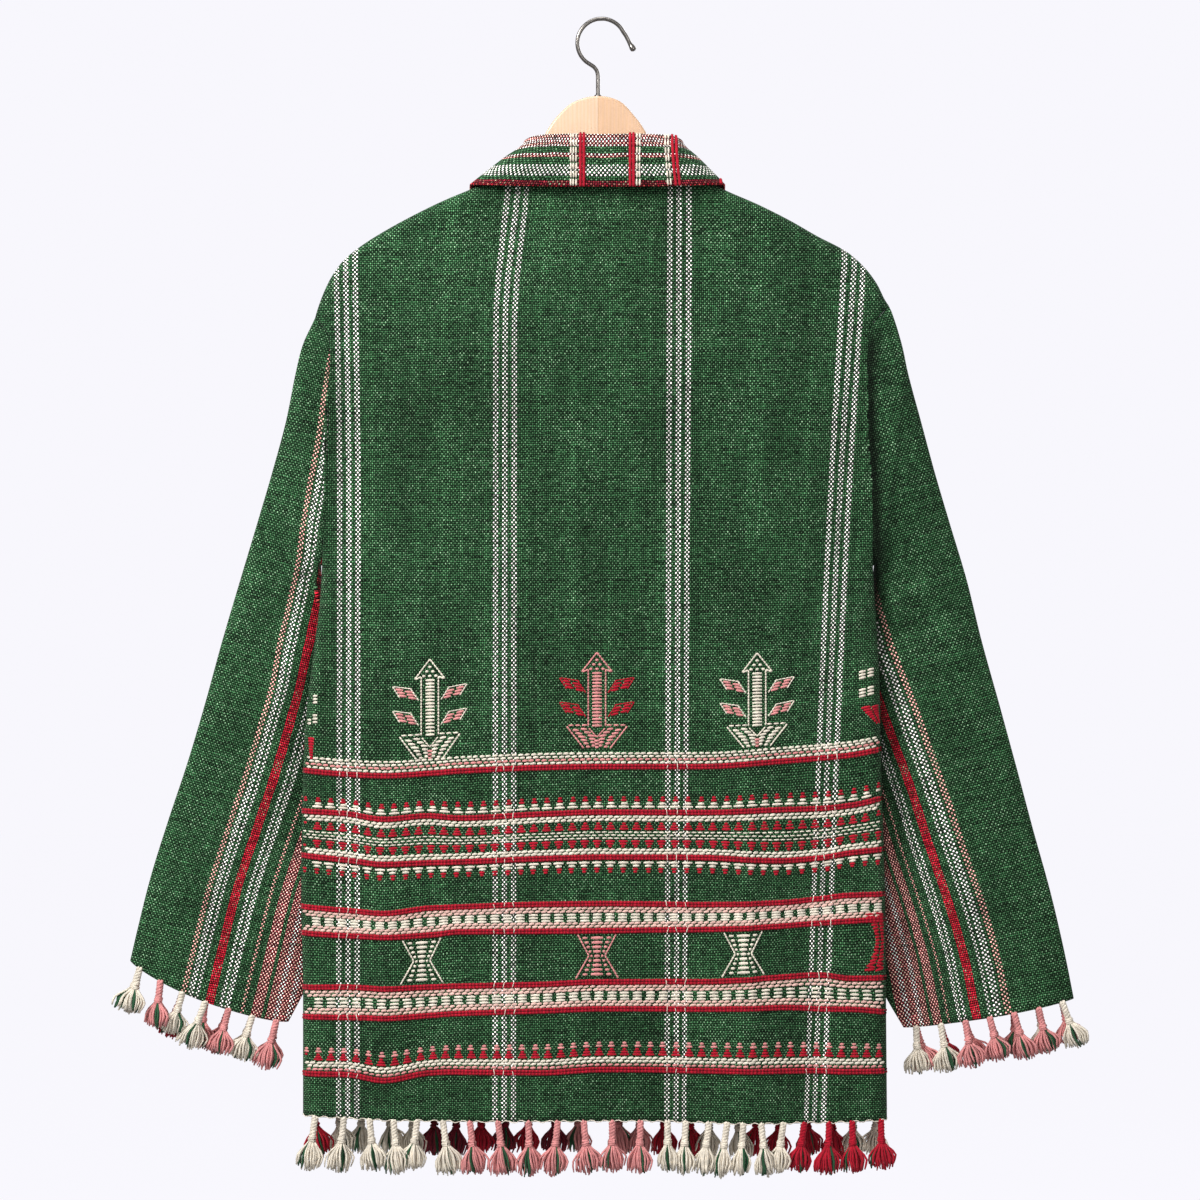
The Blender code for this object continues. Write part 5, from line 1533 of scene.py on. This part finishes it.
hem_sets = [hem_tassels("back", back[1][-1], HEM_BACK_AT, HEM_BACK_YARN, 3),
            hem_tassels("front_left", front_left[1][-1], HEM_LEFT_AT, HEM_LEFT_YARN, 4),
            hem_tassels("front_right", front_right[1][-1], HEM_RIGHT_AT, HEM_RIGHT_YARN, 5)]
cuff_sets = [cuff_tassels(-1, left_sleeve[1][-1]), cuff_tassels(1, right_sleeve[1][-1])]
threads = [edge_thread("hem_thread_back", back[1][-1] + [0, -0.0003, 0.0002], CREAM, 31),
           edge_thread("hem_thread_left", front_left[1][-1] + [0, 0.0003, 0.0002], CREAM, 32),
           edge_thread("hem_thread_right", front_right[1][-1] + [0, 0.0003, 0.0002], CREAM, 33)]
wood()
hook()


# Stage

FLOOR_Z = -1.35
ROOM_R, WALL_HIGH = 9.0, 16.0
AIM = Vector((0, 0, -0.5))
LIGHTS = (("key", (-1.9, -2.0, 1.2), 1.0, 112), ("fill", (1.2, -2.8, 0.2), 1.8, 26),
          ("top", (-0.2, -0.5, 1.6), 1.2, 18), ("rear", (0.9, 1.5, 0.5), 1.2, 16))


def stage():
    """Pale floor in a wide round wall of the same tone, soft lights and the camera."""
    scene = bpy.context.scene
    pale = plain("pale_floor", (0.939, 0.930, 0.982), 0.990)
    for name in ("floor", "surround"):
        bm = bmesh.new()
        if name == "floor":
            bmesh.ops.create_circle(bm, cap_ends=True, segments=96, radius=ROOM_R)
        else:
            bmesh.ops.create_cone(bm, cap_ends=False, segments=96, radius1=ROOM_R,
                                  radius2=ROOM_R, depth=WALL_HIGH)
        mesh = bpy.data.meshes.new(name)
        bm.to_mesh(mesh)
        bm.free()
        mesh.materials.append(pale)
        ob = bpy.data.objects.new(name, mesh)
        ob.location.z = FLOOR_Z
        scene.collection.objects.link(ob)
        ob.visible_diffuse = ob.visible_glossy = False
        ob.visible_shadow = name == "floor"
    for name, place, size, power in LIGHTS:
        light = bpy.data.lights.new(name, "AREA")
        light.size, light.energy = size, power
        lamp = bpy.data.objects.new(name, light)
        lamp.location = place
        lamp.rotation_euler = (AIM - Vector(place)).to_track_quat("-Z", "Y").to_euler()
        scene.collection.objects.link(lamp)
    world = bpy.data.worlds.new("studio")
    world.use_nodes = True
    sky = world.node_tree.nodes["Background"].inputs
    sky[0].default_value = (0.96, 0.96, 1.0, 1)
    sky[1].default_value = 0.35
    scene.world = world
    camera = bpy.data.cameras.new("camera")
    camera.lens, camera.sensor_width = 100.0, 36.0
    eye = bpy.data.objects.new("camera", camera)
    eye.location = (float(gx(600)), -3.0, float(gz(600)))
    eye.rotation_euler = (math.pi / 2, 0, 0)
    scene.collection.objects.link(eye)
    scene.camera = eye
    scene.view_settings.view_transform = "Standard"


stage()
